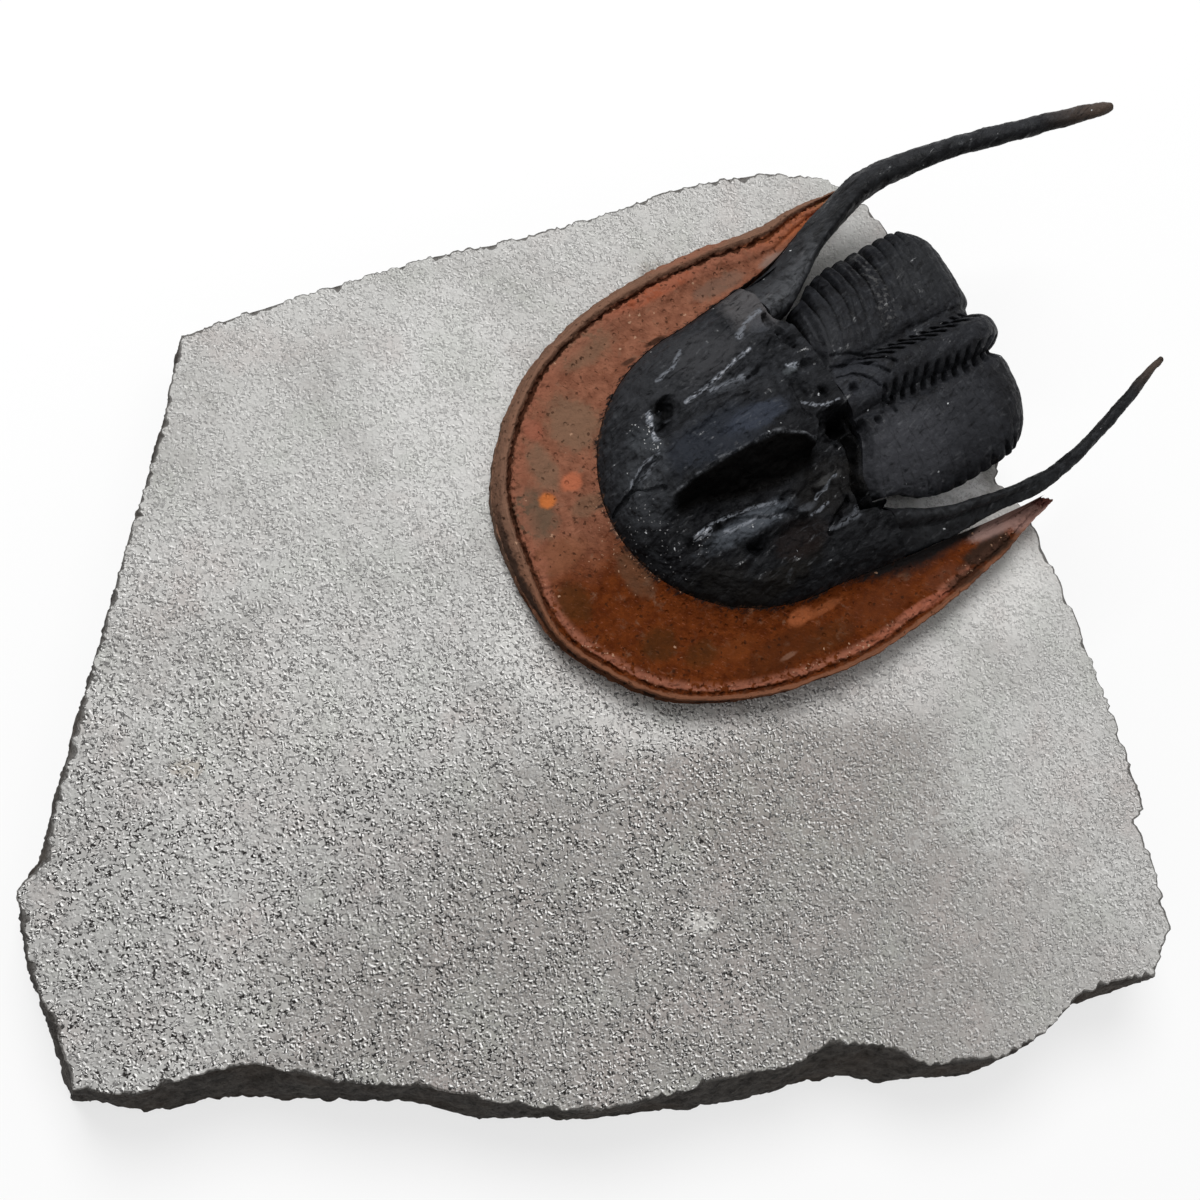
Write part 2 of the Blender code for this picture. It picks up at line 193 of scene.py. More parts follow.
class Nodes:  # short calls for adding and joining shader nodes in one tree
    def __init__(self, tree):
        self.tree = tree

    def add(self, kind, **settings):
        node = self.tree.nodes.new(kind)
        for name, value in settings.items():
            setattr(node, name, value)
        return node

    def join(self, source, target):
        self.tree.links.new(source, target)

    def feed(self, socket, value):
        if isinstance(value, bpy.types.NodeSocket):
            self.join(value, socket)
        elif value is not None:
            socket.default_value = value

    def math(self, operation, a, b=None):
        node = self.add("ShaderNodeMath", operation=operation)
        self.feed(node.inputs[0], a)
        self.feed(node.inputs[1], b)
        return node.outputs[0]

    def times(self, a, b):
        return self.math("MULTIPLY", a, b)

    def plus(self, a, b):
        return self.math("ADD", a, b)

    def minus(self, a, b):
        return self.math("SUBTRACT", a, b)

    def greater(self, a, b):
        return self.math("MAXIMUM", a, b)

    def noise(self, vector, scale, detail=4.0, roughness=0.55, distortion=0.0):
        node = self.add("ShaderNodeTexNoise")
        self.feed(node.inputs["Vector"], vector)
        self.feed(node.inputs["Scale"], scale)
        node.inputs["Detail"].default_value = detail
        node.inputs["Roughness"].default_value = roughness
        node.inputs["Distortion"].default_value = distortion
        return node.outputs["Fac"]

    def span(self, value, low, high, toLow=0.0, toHigh=1.0):
        node = self.add("ShaderNodeMapRange", interpolation_type="SMOOTHSTEP")
        self.feed(node.inputs["Value"], value)
        self.feed(node.inputs["From Min"], low)
        self.feed(node.inputs["From Max"], high)
        self.feed(node.inputs["To Min"], toLow)
        self.feed(node.inputs["To Max"], toHigh)
        return node.outputs["Result"]

    def band(self, value, start, rise, fall, end):  # 1 between rise and fall
        return self.times(self.span(value, start, rise), self.span(value, end, fall))

    def mix(self, share, first, second):
        node = self.add("ShaderNodeMix", data_type="RGBA")
        self.feed(node.inputs["Factor"], share)
        for name, colour in (("A", first), ("B", second)):
            made = isinstance(colour, bpy.types.NodeSocket)
            self.feed(node.inputs[name], colour if made else (*colour, 1.0))
        return node.outputs["Result"]

    def cover(self, colour, paint, mask, strength):
        return self.mix(self.times(mask, strength), colour, paint)

    def tint(self, colour, paint, value, low, high, strength=1.0):  # painted where value is past high
        return self.mix(self.span(value, low, high, 0.0, strength), colour, paint)

    def stretch(self, vector, scale, turn=0.0, place=(0.0, 0.0, 0.0)):  # turn is about z
        node = self.add("ShaderNodeMapping", vector_type="TEXTURE")
        self.feed(node.inputs["Vector"], vector)
        node.inputs["Location"].default_value = place
        node.inputs["Rotation"].default_value = (0.0, 0.0, turn)
        node.inputs["Scale"].default_value = scale
        return node.outputs["Vector"]

    def objectPlace(self):
        return self.add("ShaderNodeTexCoord").outputs["Object"]

    def animalPlace(self, place):  # the place in mm in the animal's frame, flattened
        x, y = animal["place"]
        return self.stretch(place, (mm, mm, 1e3), math.radians(animal["heading"]), (x * mm, y * mm, 0.0))

    def parts(self, vector):
        node = self.add("ShaderNodeSeparateXYZ")
        self.feed(node.inputs[0], vector)
        return node.outputs

    def mask(self, name):
        return self.add("ShaderNodeAttribute", attribute_name=name).outputs["Fac"]

    def group(self, tree, output, **values):
        node = self.add("ShaderNodeGroup")
        node.node_tree = tree
        for name, value in values.items():
            self.feed(node.inputs[name], value)
        return node.outputs[output]

    def bump(self, height, distance, strength):
        node = self.add("ShaderNodeBump")
        node.inputs["Distance"].default_value = distance
        node.inputs["Strength"].default_value = strength
        self.feed(node.inputs["Height"], height)
        return node.outputs["Normal"]


def newMaterial(name, roughness, specular):
    material = bpy.data.materials.new(name)
    material.use_nodes = True
    shader = material.node_tree.nodes["Principled BSDF"]
    shader.inputs["Roughness"].default_value = roughness
    shader.inputs["Specular IOR Level"].default_value = specular
    return material, Nodes(material.node_tree), shader


def shellMaterial(name, roughness, specular):  # the same, with places on the animal
    material, nodes, shader = newMaterial(name, roughness, specular)
    place = nodes.objectPlace()
    flat = nodes.animalPlace(place)
    return material, nodes, shader, place, flat, *list(nodes.parts(flat))[:2]


def newGroup(name, inputs, *outputs):
    tree = bpy.data.node_groups.new(name, "ShaderNodeTree")
    for inputName, kind, value in inputs:
        socket = tree.interface.new_socket(inputName, in_out="INPUT", socket_type=f"NodeSocket{kind}")
        if value is not None:
            socket.default_value = value
    for outputName, kind in outputs:
        tree.interface.new_socket(outputName, in_out="OUTPUT", socket_type=f"NodeSocket{kind}")
    nodes = Nodes(tree)
    return tree, nodes, nodes.add("NodeGroupInput").outputs, nodes.add("NodeGroupOutput").inputs


def patchGroup():
    # an oval patch round a place: 1 inside, 0 outside; Torn says how far its edge strays
    tree, nodes, given, made = newGroup("patch", [
        ("Place", "Vector", None), ("Centre", "Vector", None),
        ("Reach", "Vector", (1.0, 1.0, 1.0)), ("Torn", "Float", 0.0),
    ], ("Mask", "Float"))
    away = nodes.add("ShaderNodeVectorMath", operation="SUBTRACT")
    nodes.join(given["Place"], away.inputs[0])
    nodes.join(given["Centre"], away.inputs[1])
    scaled = nodes.add("ShaderNodeVectorMath", operation="DIVIDE")
    nodes.join(away.outputs[0], scaled.inputs[0])
    nodes.join(given["Reach"], scaled.inputs[1])
    length = nodes.add("ShaderNodeVectorMath", operation="LENGTH")
    nodes.join(scaled.outputs[0], length.inputs[0])
    reach = nodes.plus(length.outputs["Value"], given["Torn"])
    nodes.join(nodes.span(reach, 1.2, 0.6), made["Mask"])
    return tree


def fleckGroup():
    # small bright crystal specks, on a share of the cells of a scattered pattern
    tree, nodes, given, made = newGroup("flecks", [
        ("Place", "Vector", None), ("Scale", "Float", 2000.0),
        ("Share", "Float", 0.1), ("Size", "Float", 0.3),
    ], ("Mask", "Float"))
    cells = nodes.add("ShaderNodeTexVoronoi")
    nodes.join(given["Place"], cells.inputs["Vector"])
    nodes.join(given["Scale"], cells.inputs["Scale"])
    chosen = nodes.math("LESS_THAN", nodes.parts(cells.outputs["Color"])[0], given["Share"])
    rough = nodes.span(nodes.noise(given["Place"], nodes.times(given["Scale"], 1.7), 3.0), 0.3, 0.7, 0.5, 1.7)
    near = nodes.math("LESS_THAN", nodes.times(cells.outputs["Distance"], rough), given["Size"])
    nodes.join(nodes.times(chosen, near), made["Mask"])
    return tree


def grainGroup():
    # layered roughness for bump: broad lumps, fine grain and scattered pits
    tree, nodes, given, made = newGroup("grain", [
        ("Place", "Vector", None), ("Scale", "Float", 1000.0),
        ("Pits", "Float", 0.5), ("Chips", "Float", 0.0),
    ], ("Height", "Float"))
    lumps = nodes.noise(given["Place"], given["Scale"], 4.0, 0.65)
    cells = nodes.add("ShaderNodeTexVoronoi")
    nodes.join(given["Place"], cells.inputs["Vector"])
    nodes.join(given["Scale"], cells.inputs["Scale"])
    hollow = nodes.span(cells.outputs["Distance"], 0.3, 0.1)
    hollow = nodes.times(nodes.times(hollow, given["Pits"]), nodes.parts(cells.outputs["Color"])[0])
    chips = nodes.times(cells.outputs["Distance"], given["Chips"])
    nodes.join(nodes.plus(nodes.minus(lumps, hollow), chips), made["Height"])
    return tree


patch, flecks, grainLayers = patchGroup(), fleckGroup(), grainGroup()


def tornEdge(nodes, flat):
    return nodes.minus(nodes.noise(flat, 1.1, 5.0, 0.65), 0.5)


def oval(nodes, flat, torn, x, y, reachX, reachY):
    reach = (reachX, reachY, 1.0)
    return nodes.group(patch, "Mask", Place=flat, Centre=(x, y, 0.0), Reach=reach, Torn=torn)


def paintPatches(nodes, flat, torn, colour, patches):
    # each patch: x, y, reach in x and y, strength, colour
    for *where, strength, paint in patches:
        spot = oval(nodes, flat, torn, *where)
        colour = nodes.cover(colour, paint, spot, strength)
    return colour


def scatter(nodes, place, scale, share, size):
    return nodes.group(flecks, "Mask", Place=place, Scale=scale, Share=share, Size=size)


def grainSurface(nodes, shader, place, scale, pits, chips, depth, strength):
    height = nodes.group(grainLayers, "Height", Place=place, Scale=scale, Pits=pits, Chips=chips)
    nodes.join(nodes.bump(height, depth, strength), shader.inputs["Normal"])


slab = {
    "lipHeight": 10.3,       # where the broken wall begins
    "waistHeight": 4.95,
    "columns": 290,
    "rows": 245,
    "wallSteps": 24,
    "wallTop": 10.6,         # where the wall's first step starts from
    "wallCrowding": 1.3,     # how much closer together its steps are at the top
    "edgeInset": 0.22,       # how far the top edge stands inside the wall below it
    "coreMiddle": (-38.9, 0.0),  # the stone under the thorax, in the animal's frame
    "coreSize": (7.2, 9.2, 4.8),
    # wider pits in the top face: x, y, size, depth
    "pits": [
        (10.6, -27.6, 0.75, 0.7), (12.4, -17.5, 0.8, 0.5), (21.2, -8.4, 0.8, 0.6), (9.6, -28.8, 0.5, 0.4),
        (14.6, -23.0, 0.6, 0.5), (-26.6, 9.6, 0.5, 0.35), (-27.0, 12.0, 0.45, 0.35), (-26.3, 7.2, 0.4, 0.3),
        (-7.8, 28.2, 0.7, 0.3), (36.0, -20.0, 0.5, 0.4), (-39.0, -31.0, 0.6, 0.4), (28.5, -31.5, 0.7, 0.4),
    ],
}


def slabRings():
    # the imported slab's outline at three heights, each counter-clockwise, in mm
    mesh = bmesh.new()
    mesh.from_mesh(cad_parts["matrix_slab"].data)
    bmesh.ops.remove_doubles(mesh, verts=mesh.verts, dist=1e-6)
    rings = []
    for height in (slab["lipHeight"], slab["waistHeight"], 0.0):
        level = [v.co.xy / mm for v in mesh.verts if abs(v.co.z / mm - height) < 0.01]
        rings.append(np.array(sorted(level, key=lambda p: math.atan2(p.y, p.x))))
    mesh.free()
    return rings


def ringPoint(ring, place):  # a point on a closed outline; place counts its corners
    index = np.floor(place).astype(int)
    share = (place - index)[:, None]
    return ring[index % len(ring)] * (1.0 - share) + ring[(index + 1) % len(ring)] * share


def ringOut(ring, place):  # the outward direction there
    run = ringPoint(ring, place + 0.6) - ringPoint(ring, place - 0.6)
    out = np.column_stack([run[:, 1], -run[:, 0]])
    return out / np.linalg.norm(out, axis=1)[:, None]


def slabSide(ring, number, shares):
    # places along one of the outline's four sides, from shares of its length
    diagonals = ((-1, -1), (1, -1), (1, 1), (-1, 1))
    start, end = [int(np.argmax(ring @ np.array(diagonals[i % 4]))) for i in (number, number + 1)]
    places = np.arange(start, end + 1 if end > start else end + len(ring) + 1, dtype=float)
    steps = np.linalg.norm(np.diff(ringPoint(ring, places), axis=0), axis=1)
    lengths = np.concatenate([[0.0], np.cumsum(steps)])
    return np.interp(shares, lengths / lengths[-1], places)


def slabEdge(ring, number, shares):  # the top edge along a side, and its places
    places = slabSide(ring, number, shares)
    spots = ringPoint(ring, places)
    level = levelPoints(*spots.T)
    wear = slab["edgeInset"] * (1.0 + 1.4 * crumble(level, 2.0, 5)) + 0.42 * crumble(level, 0.8, 6)
    return places, spots - ringOut(ring, places) * np.maximum(0.04, wear)[:, None]


def slabRelief(x, y):  # height of the top face about its level, in mm
    points = levelPoints(x, y)
    relief = 0.10 * ripple(points, 9.0, 1) + 0.04 * ripple(points, 2.6, 2)
    streaks = np.column_stack([0.6 * (0.86 * x - 0.51 * y), 0.51 * x + 0.86 * y, 0.0 * x])
    busy = 0.35 + 0.65 * ramp(ripple(points, 7.0, 4) - 0.02 * (y + 20.0), -0.3, 0.5)
    relief += busy * 0.05 * crumble(streaks, 0.42, 3)
    relief -= busy * 0.12 * hill(pits(points, 1.5, 8) / 0.22)
    for pitX, pitY, size, depth in slab["pits"]:
        reach = np.hypot((x - pitX) / size, (y - pitY) / (0.7 * size))
        near = reach < 2.0
        reach[near] += 0.35 * crumble(points[near], 0.6, 9)
        relief -= depth * hill(reach)
    return relief


def buildSlab(material):
    rings = slabRings()
    lip = rings[0]
    mesh, unit = unitGrid(slab["columns"], slab["rows"])
    u, v = unit[:, 0], unit[:, 1]
    across, up = np.linspace(0.0, 1.0, slab["columns"] + 1), np.linspace(0.0, 1.0, slab["rows"] + 1)
    column, row = np.rint(u * slab["columns"]).astype(int), np.rint(v * slab["rows"]).astype(int)
    nearPlace, near = slabEdge(lip, 0, across)
    rightPlace, right = slabEdge(lip, 1, up)
    farPlace, far = slabEdge(lip, 2, 1.0 - across)
    leftPlace, left = slabEdge(lip, 3, 1.0 - up)
    place = np.where(v < 1e-6, nearPlace[column], np.where(v > 1 - 1e-6, farPlace[column], 0.0))
    onSide = (v > 1e-6) & (v < 1 - 1e-6)
    place = np.where(onSide & (u < 1e-6), leftPlace[row], place)
    place = np.where(onSide & (u > 1 - 1e-6), rightPlace[row], place)
    U, V = u[:, None], v[:, None]
    flat = near[column] * (1 - V) + far[column] * V + left[row] * (1 - U) + right[row] * U
    flat -= (near[0] * (1 - U) + near[-1] * U) * (1 - V) + (far[0] * (1 - U) + far[-1] * U) * V
    height = slabRelief(flat[:, 0], flat[:, 1])
    heading = math.radians(animal["heading"])
    away = flat - np.array(animal["place"])
    alongAnimal = away[:, 0] * math.cos(heading) + away[:, 1] * math.sin(heading) - slab["coreMiddle"][0]
    acrossAnimal = away[:, 1] * math.cos(heading) - away[:, 0] * math.sin(heading) - slab["coreMiddle"][1]
    reach = (alongAnimal / slab["coreSize"][0]) ** 2 + (acrossAnimal / slab["coreSize"][1]) ** 2
    height += slab["coreSize"][2] * np.sqrt(np.maximum(0.0, 1.0 - reach))
    movePoints(mesh, flat[:, 0], flat[:, 1], animal["slabTop"] + height)
    keepMask(mesh, "around", place)
    keepMask(mesh, "broken", np.zeros(len(flat)))
    keepMask(mesh, "lip", (np.minimum(u * (1.0 - u), v * (1.0 - v)) < 1e-6) * 1.0)

    around, broken, edge = [mesh.verts.layers.float[name] for name in ("around", "broken", "lip")]
    edges = openEdges(mesh)
    for step in range(1, slab["wallSteps"] + 1):
        edges, verts = extrudeEdges(mesh, edges)
        share = (step / slab["wallSteps"]) ** slab["wallCrowding"]
        height = slab["wallTop"] * (1.0 - share)
        places = np.array([vert[around] for vert in verts])
        waist = slab["waistHeight"]
        if height > waist:
            mixed = min(1.0, max(0.0, (slab["lipHeight"] - height) / (slab["lipHeight"] - waist)))
            spots = ringPoint(rings[0], places) * (1 - mixed) + ringPoint(rings[1], places) * mixed
        else:
            mixed = (waist - height) / waist
            spots = ringPoint(rings[1], places) * (1 - mixed) + ringPoint(rings[2], places) * mixed
        points = np.column_stack([spots, np.full(len(spots), height)])
        chips = 0.30 + 0.38 * crumble(points, 4.5, 6) + 0.28 * crumble(points, 1.1, 7)
        inward = np.maximum(0.0, chips) * ramp(share, -0.02, 0.12)
        spots -= ringOut(rings[0], places) * inward[:, None]
        for vert, spot in zip(verts, spots.tolist()):
            vert.co = (*spot, height)
            vert[broken] = vert[edge] = 1.0
    bmesh.ops.holes_fill(mesh, edges=edges, sides=0)
    finishPiece(mesh, "stoneSlab", material, "matrix_slab", millimetres)


stone = {
    "dark": (0.33, 0.32, 0.305),
    "pale": (0.49, 0.485, 0.47),
    # the abrasion marks' painted shade and painted highlight
    "strokeShade": (0.018, 0.016, 0.015),
    "bright": (0.92, 0.91, 0.89),
    # wide patches on the top face, in world mm: x, y, reach in x and y, strength, colour. The wide dark ones
    # at the front are painted shade that darkens the front; the four pale ones beside the brim's near side
    # are painted light that lifts the brim's shadow; the rest are stains
    "stainsLightAndShade": [
        (3.0, -33.0, 36.0, 22.0, 0.85, (0.245, 0.230, 0.215)),
        (17.0, -14.0, 15.0, 10.0, 0.75, (0.245, 0.222, 0.205)),
        (-42.0, -28.0, 10.0, 16.0, 0.5, (0.29, 0.285, 0.275)),
        (34.0, -33.0, 14.0, 12.0, 0.4, (0.30, 0.285, 0.27)),
        (-13.0, 17.0, 7.0, 12.0, 0.6, (0.60, 0.595, 0.58)),
        (-26.0, -14.0, 9.0, 8.0, 0.4, (0.48, 0.47, 0.45)),
        (-22.0, -21.0, 10.0, 8.0, 0.4, (0.38, 0.375, 0.365)),
        (-45.3, -16.2, 1.2, 0.7, 0.6, (0.32, 0.24, 0.17)), (-34.2, -14.7, 1.4, 0.9, 0.5, (0.34, 0.26, 0.2)),
        (8.0, -27.5, 1.6, 1.0, 0.6, (0.62, 0.61, 0.58)), (7.2, 31.0, 3.4, 1.0, 0.5, (0.17, 0.14, 0.11)),
        (5.0, 29.9, 1.2, 0.7, 0.5, (0.15, 0.12, 0.10)), (29.5, 9.6, 4.6, 1.5, 1.0, (0.97, 0.97, 0.97)),
        (34.0, 11.6, 2.6, 1.6, 1.0, (0.97, 0.97, 0.97)), (17.8, 28.4, 1.4, 1.8, 0.9, (0.85, 0.85, 0.85)),
        (36.5, 3.0, 6.0, 6.0, 0.5, (0.70, 0.69, 0.67)), (22.0, -6.0, 15.0, 5.0, 0.5, (0.60, 0.585, 0.57)),
        (5.0, -9.6, 9.0, 4.0, 0.6, (0.62, 0.61, 0.59)), (-4.5, -4.6, 6.0, 5.0, 0.45, (0.64, 0.63, 0.61)),
    ],
}


def limestoneMaterial():
    material, nodes, shader = newMaterial("abradedLimestone", 0.92, 0.15)
    place = nodes.objectPlace()
    broken = nodes.mask("broken")
    flat = nodes.stretch(place, (mm, mm, 1e3))
    tone = nodes.noise(place, 110.0, 4.0, 0.6)
    colour = nodes.mix(nodes.span(tone, 0.2, 0.55), stone["dark"], stone["pale"])
    # the stains, with painted shade at the front and painted light beside the brim
    colour = paintPatches(nodes, flat, tornEdge(nodes, flat), colour, stone["stainsLightAndShade"])
    tint = nodes.noise(place, 160.0, 3.0)
    colour = nodes.tint(colour, (0.44, 0.38, 0.36), tint, 0.5, 0.75, 0.35)
    colour = nodes.tint(colour, (0.40, 0.42, 0.38), tint, 0.5, 0.3, 0.3)

    # abrasion marks: short curled strokes, each painted dark as its own painted shade, with a pale copy
    # beside it as its painted highlight
    def strokes(shift):
        spot = nodes.stretch(place, (1.4, 1.0, 1.0), math.radians(-34.0), shift)
        curl = nodes.noise(spot, 2700.0, 2.0, 0.6, 0.7)
        return nodes.span(nodes.math("ABSOLUTE", nodes.minus(curl, 0.5)), 0.075, 0.03)

    x, y, _ = nodes.parts(flat)
    busy = nodes.times(nodes.span(y, 18.0, -22.0, 0.45, 1.0), nodes.span(x, 8.0, 34.0, 1.0, 0.55))
    parted = nodes.span(nodes.noise(place, 3100.0, 2.0, 0.6), 0.45, 0.52)
    cluster = nodes.times(nodes.span(nodes.noise(place, 700.0, 3.0, 0.7), 0.34, 0.54, 0.35, 1.0), busy)
    cluster = nodes.times(cluster, parted)
    hollow = nodes.times(strokes((0, 0, 0)), cluster)
    high = nodes.times(strokes((0.00010, 0.00014, 0)), cluster)
    # painted highlight: a copy of the strokes shifted a little, painted pale
    colour = nodes.mix(high, colour, stone["bright"])
    # painted shade: the strokes themselves, painted near black
    colour = nodes.mix(hollow, colour, stone["strokeShade"])
    # the broken edge is dark and ragged
    lip = nodes.plus(nodes.mask("lip"), nodes.times(nodes.minus(tint, 0.5), 1.4))
    colour = nodes.tint(colour, (0.060, 0.055, 0.050), lip, 0.5, 0.75, 0.8)
    rock = nodes.noise(place, 900.0, 4.0, 0.75)
    charcoal = nodes.mix(nodes.span(rock, 0.25, 0.75), (0.010, 0.009, 0.008), (0.092, 0.083, 0.075))
    charcoal = nodes.tint(charcoal, (0.060, 0.044, 0.033), tint, 0.45, 0.7, 0.4)
    nodes.join(nodes.mix(broken, colour, charcoal), shader.inputs["Base Color"])
    lumps = nodes.times(nodes.noise(place, 900.0, 3.0, 0.65), nodes.span(broken, 0.0, 1.0, 0.7, 3.5))
    height = nodes.minus(lumps, nodes.times(hollow, 1.2))
    nodes.join(nodes.bump(height, 0.00012, 0.8), shader.inputs["Normal"])
    return material


# Stations round the brim from the front to a tip: x and y of the outer foot,
# then of the inner edge. y counts away from the midline.
brim = {
    "left": [
        (0.0, 0.0, -9.5, 0.0), (-0.6, 4.9, -9.8, 2.9), (-2.6, 9.4, -10.9, 6.1),
        (-5.6, 13.5, -13.2, 9.3), (-10.4, 16.7, -16.5, 11.6), (-16.6, 18.8, -20.2, 12.9),
        (-23.5, 19.8, -25.4, 13.5), (-30.2, 19.5, -30.8, 14.15), (-35.4, 18.8, -35.6, 14.65),
        (-40.0, 17.9, -40.0, 15.15), (-43.6, 16.8, -43.4, 15.45), (-46.5, 16.1, -46.1, 15.6),
    ],
    "right": [
        (0.0, 0.0, -9.5, 0.0), (-0.5, 4.9, -9.8, 2.9), (-2.3, 9.3, -10.9, 6.1),
        (-5.5, 13.2, -13.2, 9.3), (-10.4, 16.8, -16.5, 11.6), (-16.6, 19.0, -20.2, 12.9),
        (-23.5, 19.8, -25.4, 13.5), (-30.2, 19.7, -30.8, 14.05), (-35.4, 19.1, -35.6, 15.0),
        (-40.0, 19.1, -39.6, 16.45), (-43.2, 18.8, -42.4, 17.15), (-45.4, 18.4, -45.0, 17.65),
    ],
    "rimWidth": 2.6,     # the rim, its crease and the little ridge inside it
    "rimShare": 0.7,     # most of the width that the rim takes near the tips
    "creaseAt": 1.72,    # how far in from the foot the crease lies
    "seam": 0.03,        # the hairline between the brim and the head
    "columns": 900,
    "nearLean": 0.55,    # how far the rim leans out over its foot there
    "nearPinch": 0.1,   # how narrow the rim is on the left, as a share of the far side's
    "nearFill": 0.2,    # and how much shallower its crease
    "farInset": 0.3,    # how far the rim's wall stands in from its foot elsewhere in front
    # upper plate, once round its section: share of the way from the rim's inner
    # foot to the inner edge, distance in from the outer foot, height, steps
    "upper": [
        (1.0, 2.6, 1.5, 3), (0.0, 0.9, 1.45, 3), (0.0, 0.1, 1.42, 3), (0.0, 0.16, 1.75, 4),
        (0.0, 0.42, 2.45, 4), (0.0, 0.8, 2.88, 4), (0.0, 1.2, 2.98, 4), (0.0, 1.5, 2.62, 5),
        (0.0, 1.72, 2.3, 5), (0.0, 1.95, 2.62, 5), (0.0, 2.25, 2.74, 4), (0.08, 2.6, 2.62, 6),
        (0.35, 2.6, 2.36, 12), (0.65, 2.6, 2.46, 12), (0.9, 2.6, 2.9, 8), (1.0, 2.6, 3.2, 2),
    ],
    "lower": [
        (1.0, 2.6, 0.3, 2), (0.0, 0.9, 0.1, 3), (0.0, 0.12, 0.1, 3), (0.0, -0.02, 0.35, 3),
        (0.0, 0.0, 0.8, 3), (0.0, 0.08, 1.26, 3), (0.0, 0.3, 1.38, 3), (0.0, 0.9, 1.36, 2),
        (1.0, 2.6, 1.2, 2),
    ],
}


def brimStations():
    mirrored = [(ox, -oy, ix, -iy) for ox, oy, ix, iy in brim["right"][1:]]
    return brim["left"][::-1] + mirrored


def meetHead(points, gap):
    # moves points beside the head so that they lie just outside its outline
    x, y = points[:, 0], points[:, 1]
    middle = head["middle"]
    reach = np.hypot((x - middle) / head["length"], y / head["halfWidth"])
    reach = np.maximum(reach, 0.1)
    half = head["halfWidth"] + head["widening"] * (middle - x) + gap
    frontX = middle + (x - middle) / reach * (1.0 + gap / head["length"])
    frontY = y / reach * (1.0 + gap / head["halfWidth"])
    beside = (x <= middle) & (x > head["rear"])
    x = np.where(points[:, 0] > middle, frontX, x)
    y = np.where(points[:, 0] > middle, frontY, np.where(beside, np.sign(y) * half, y))
    return np.column_stack([x, y])


def brimPiece(section, relief):
    # a tube whose section is shaped by the list, and its surface by relief(...)
    stations = brimStations()
    rows = sum(point[3] for point in section)
    mesh, unit = unitGrid(brim["columns"], rows)
    marks = [index + step / point[3] for index, point in enumerate(section) for step in range(point[3])]
    marks = np.array(marks + [float(len(section))])
    share, distance, height, _ = curveAt(section + [section[0]], marks).T
    row = np.rint(unit[:, 1] * rows).astype(int)
    place = unit[:, 0] * (len(stations) - 1)
    path = curveAt(stations, place)
    outer, inner = path[:, :2], meetHead(path[:, 2:], brim["seam"])
    width = np.linalg.norm(inner - outer, axis=1)
    level = levelPoints(*outer.T)
    wobble = 0.13 * ripple(level, 3.0, 16) + 0.10 * crumble(level, 0.9, 17)
    squeeze = np.minimum(1.0, brim["rimShare"] * width / brim["rimWidth"])
    near = ramp(outer[:, 1], -3.0, 7.0)
    pinch = 1.0 - (1.0 - brim["nearPinch"]) * near
    share, distance, height = share[row], distance[row], height[row]
    onRim = share < 0.05
    pinch = pinch + (1.0 - pinch) * np.minimum(1.0, np.maximum(0.0, distance) / brim["rimWidth"]) ** 4
    reach = (distance * pinch + wobble * hill(distance / brim["rimWidth"])) * squeeze
    reach += share * (width - brim["rimWidth"] * squeeze)
    inset = brim["farInset"] * (1.0 - near) * (0.4 + 0.6 * ramp(outer[:, 0], -24.0, -10.0))
    reach += inset * hill(distance / 1.7) * squeeze * onRim
    reach -= near * brim["nearLean"] * (height / 1.5 - 1.0) * hill(distance / brim["rimWidth"]) * onRim
    spots = outer + (inner - outer) / width[:, None] * reach[:, None]
    filled = brim["nearFill"] * near * hill((distance - brim["creaseAt"]) / 0.4) * (height > 2.0)
    movePoints(mesh, spots, height + filled)
    keepMask(mesh, "inward", distance + share)
    keepMask(mesh, "along", place)
    closeTube(mesh)
    swell(mesh, relief(pointsOf(mesh), maskOf(mesh, "inward")))
    return mesh


def upperRelief(points, inward):
    crumbs, ridge, rim = hill((inward - 1.75) / 0.5), hill((inward - 2.2) / 0.5), ramp(inward, 1.5, 0.9)
    flange = ramp(inward, 2.4, 2.8) * ramp(inward, 3.6, 3.4)
    lift = (0.06 * ripple(points, 2.4, 11) + 0.03 * crumble(points, 0.8, 12)) * ramp(inward, 3.6, 3.5)
    lift += (crumbs + ridge) * 0.2 * crumble(points, 0.45, 13)
    lift += rim * (0.06 * crumble(points, 0.7, 14) + 0.07 * crumble(points, 1.8, 20))
    return lift + flange * (0.035 * crumble(points, 1.6, 18) - 0.10 * hill(pits(points, 1.7, 19) / 0.16))


def lowerRelief(points, inward):
    return 0.06 * crumble(points, 0.8, 15)


def buildBrim(upperMaterial, lowerMaterial):
    upper = brimPiece(brim["upper"], upperRelief)
    finishPiece(upper, "brimUpperPlate", upperMaterial, "brim_upper_plate")
    lower = brimPiece(brim["lower"], lowerRelief)
    finishPiece(lower, "brimLowerPlate", lowerMaterial, "brim_lower_plate")


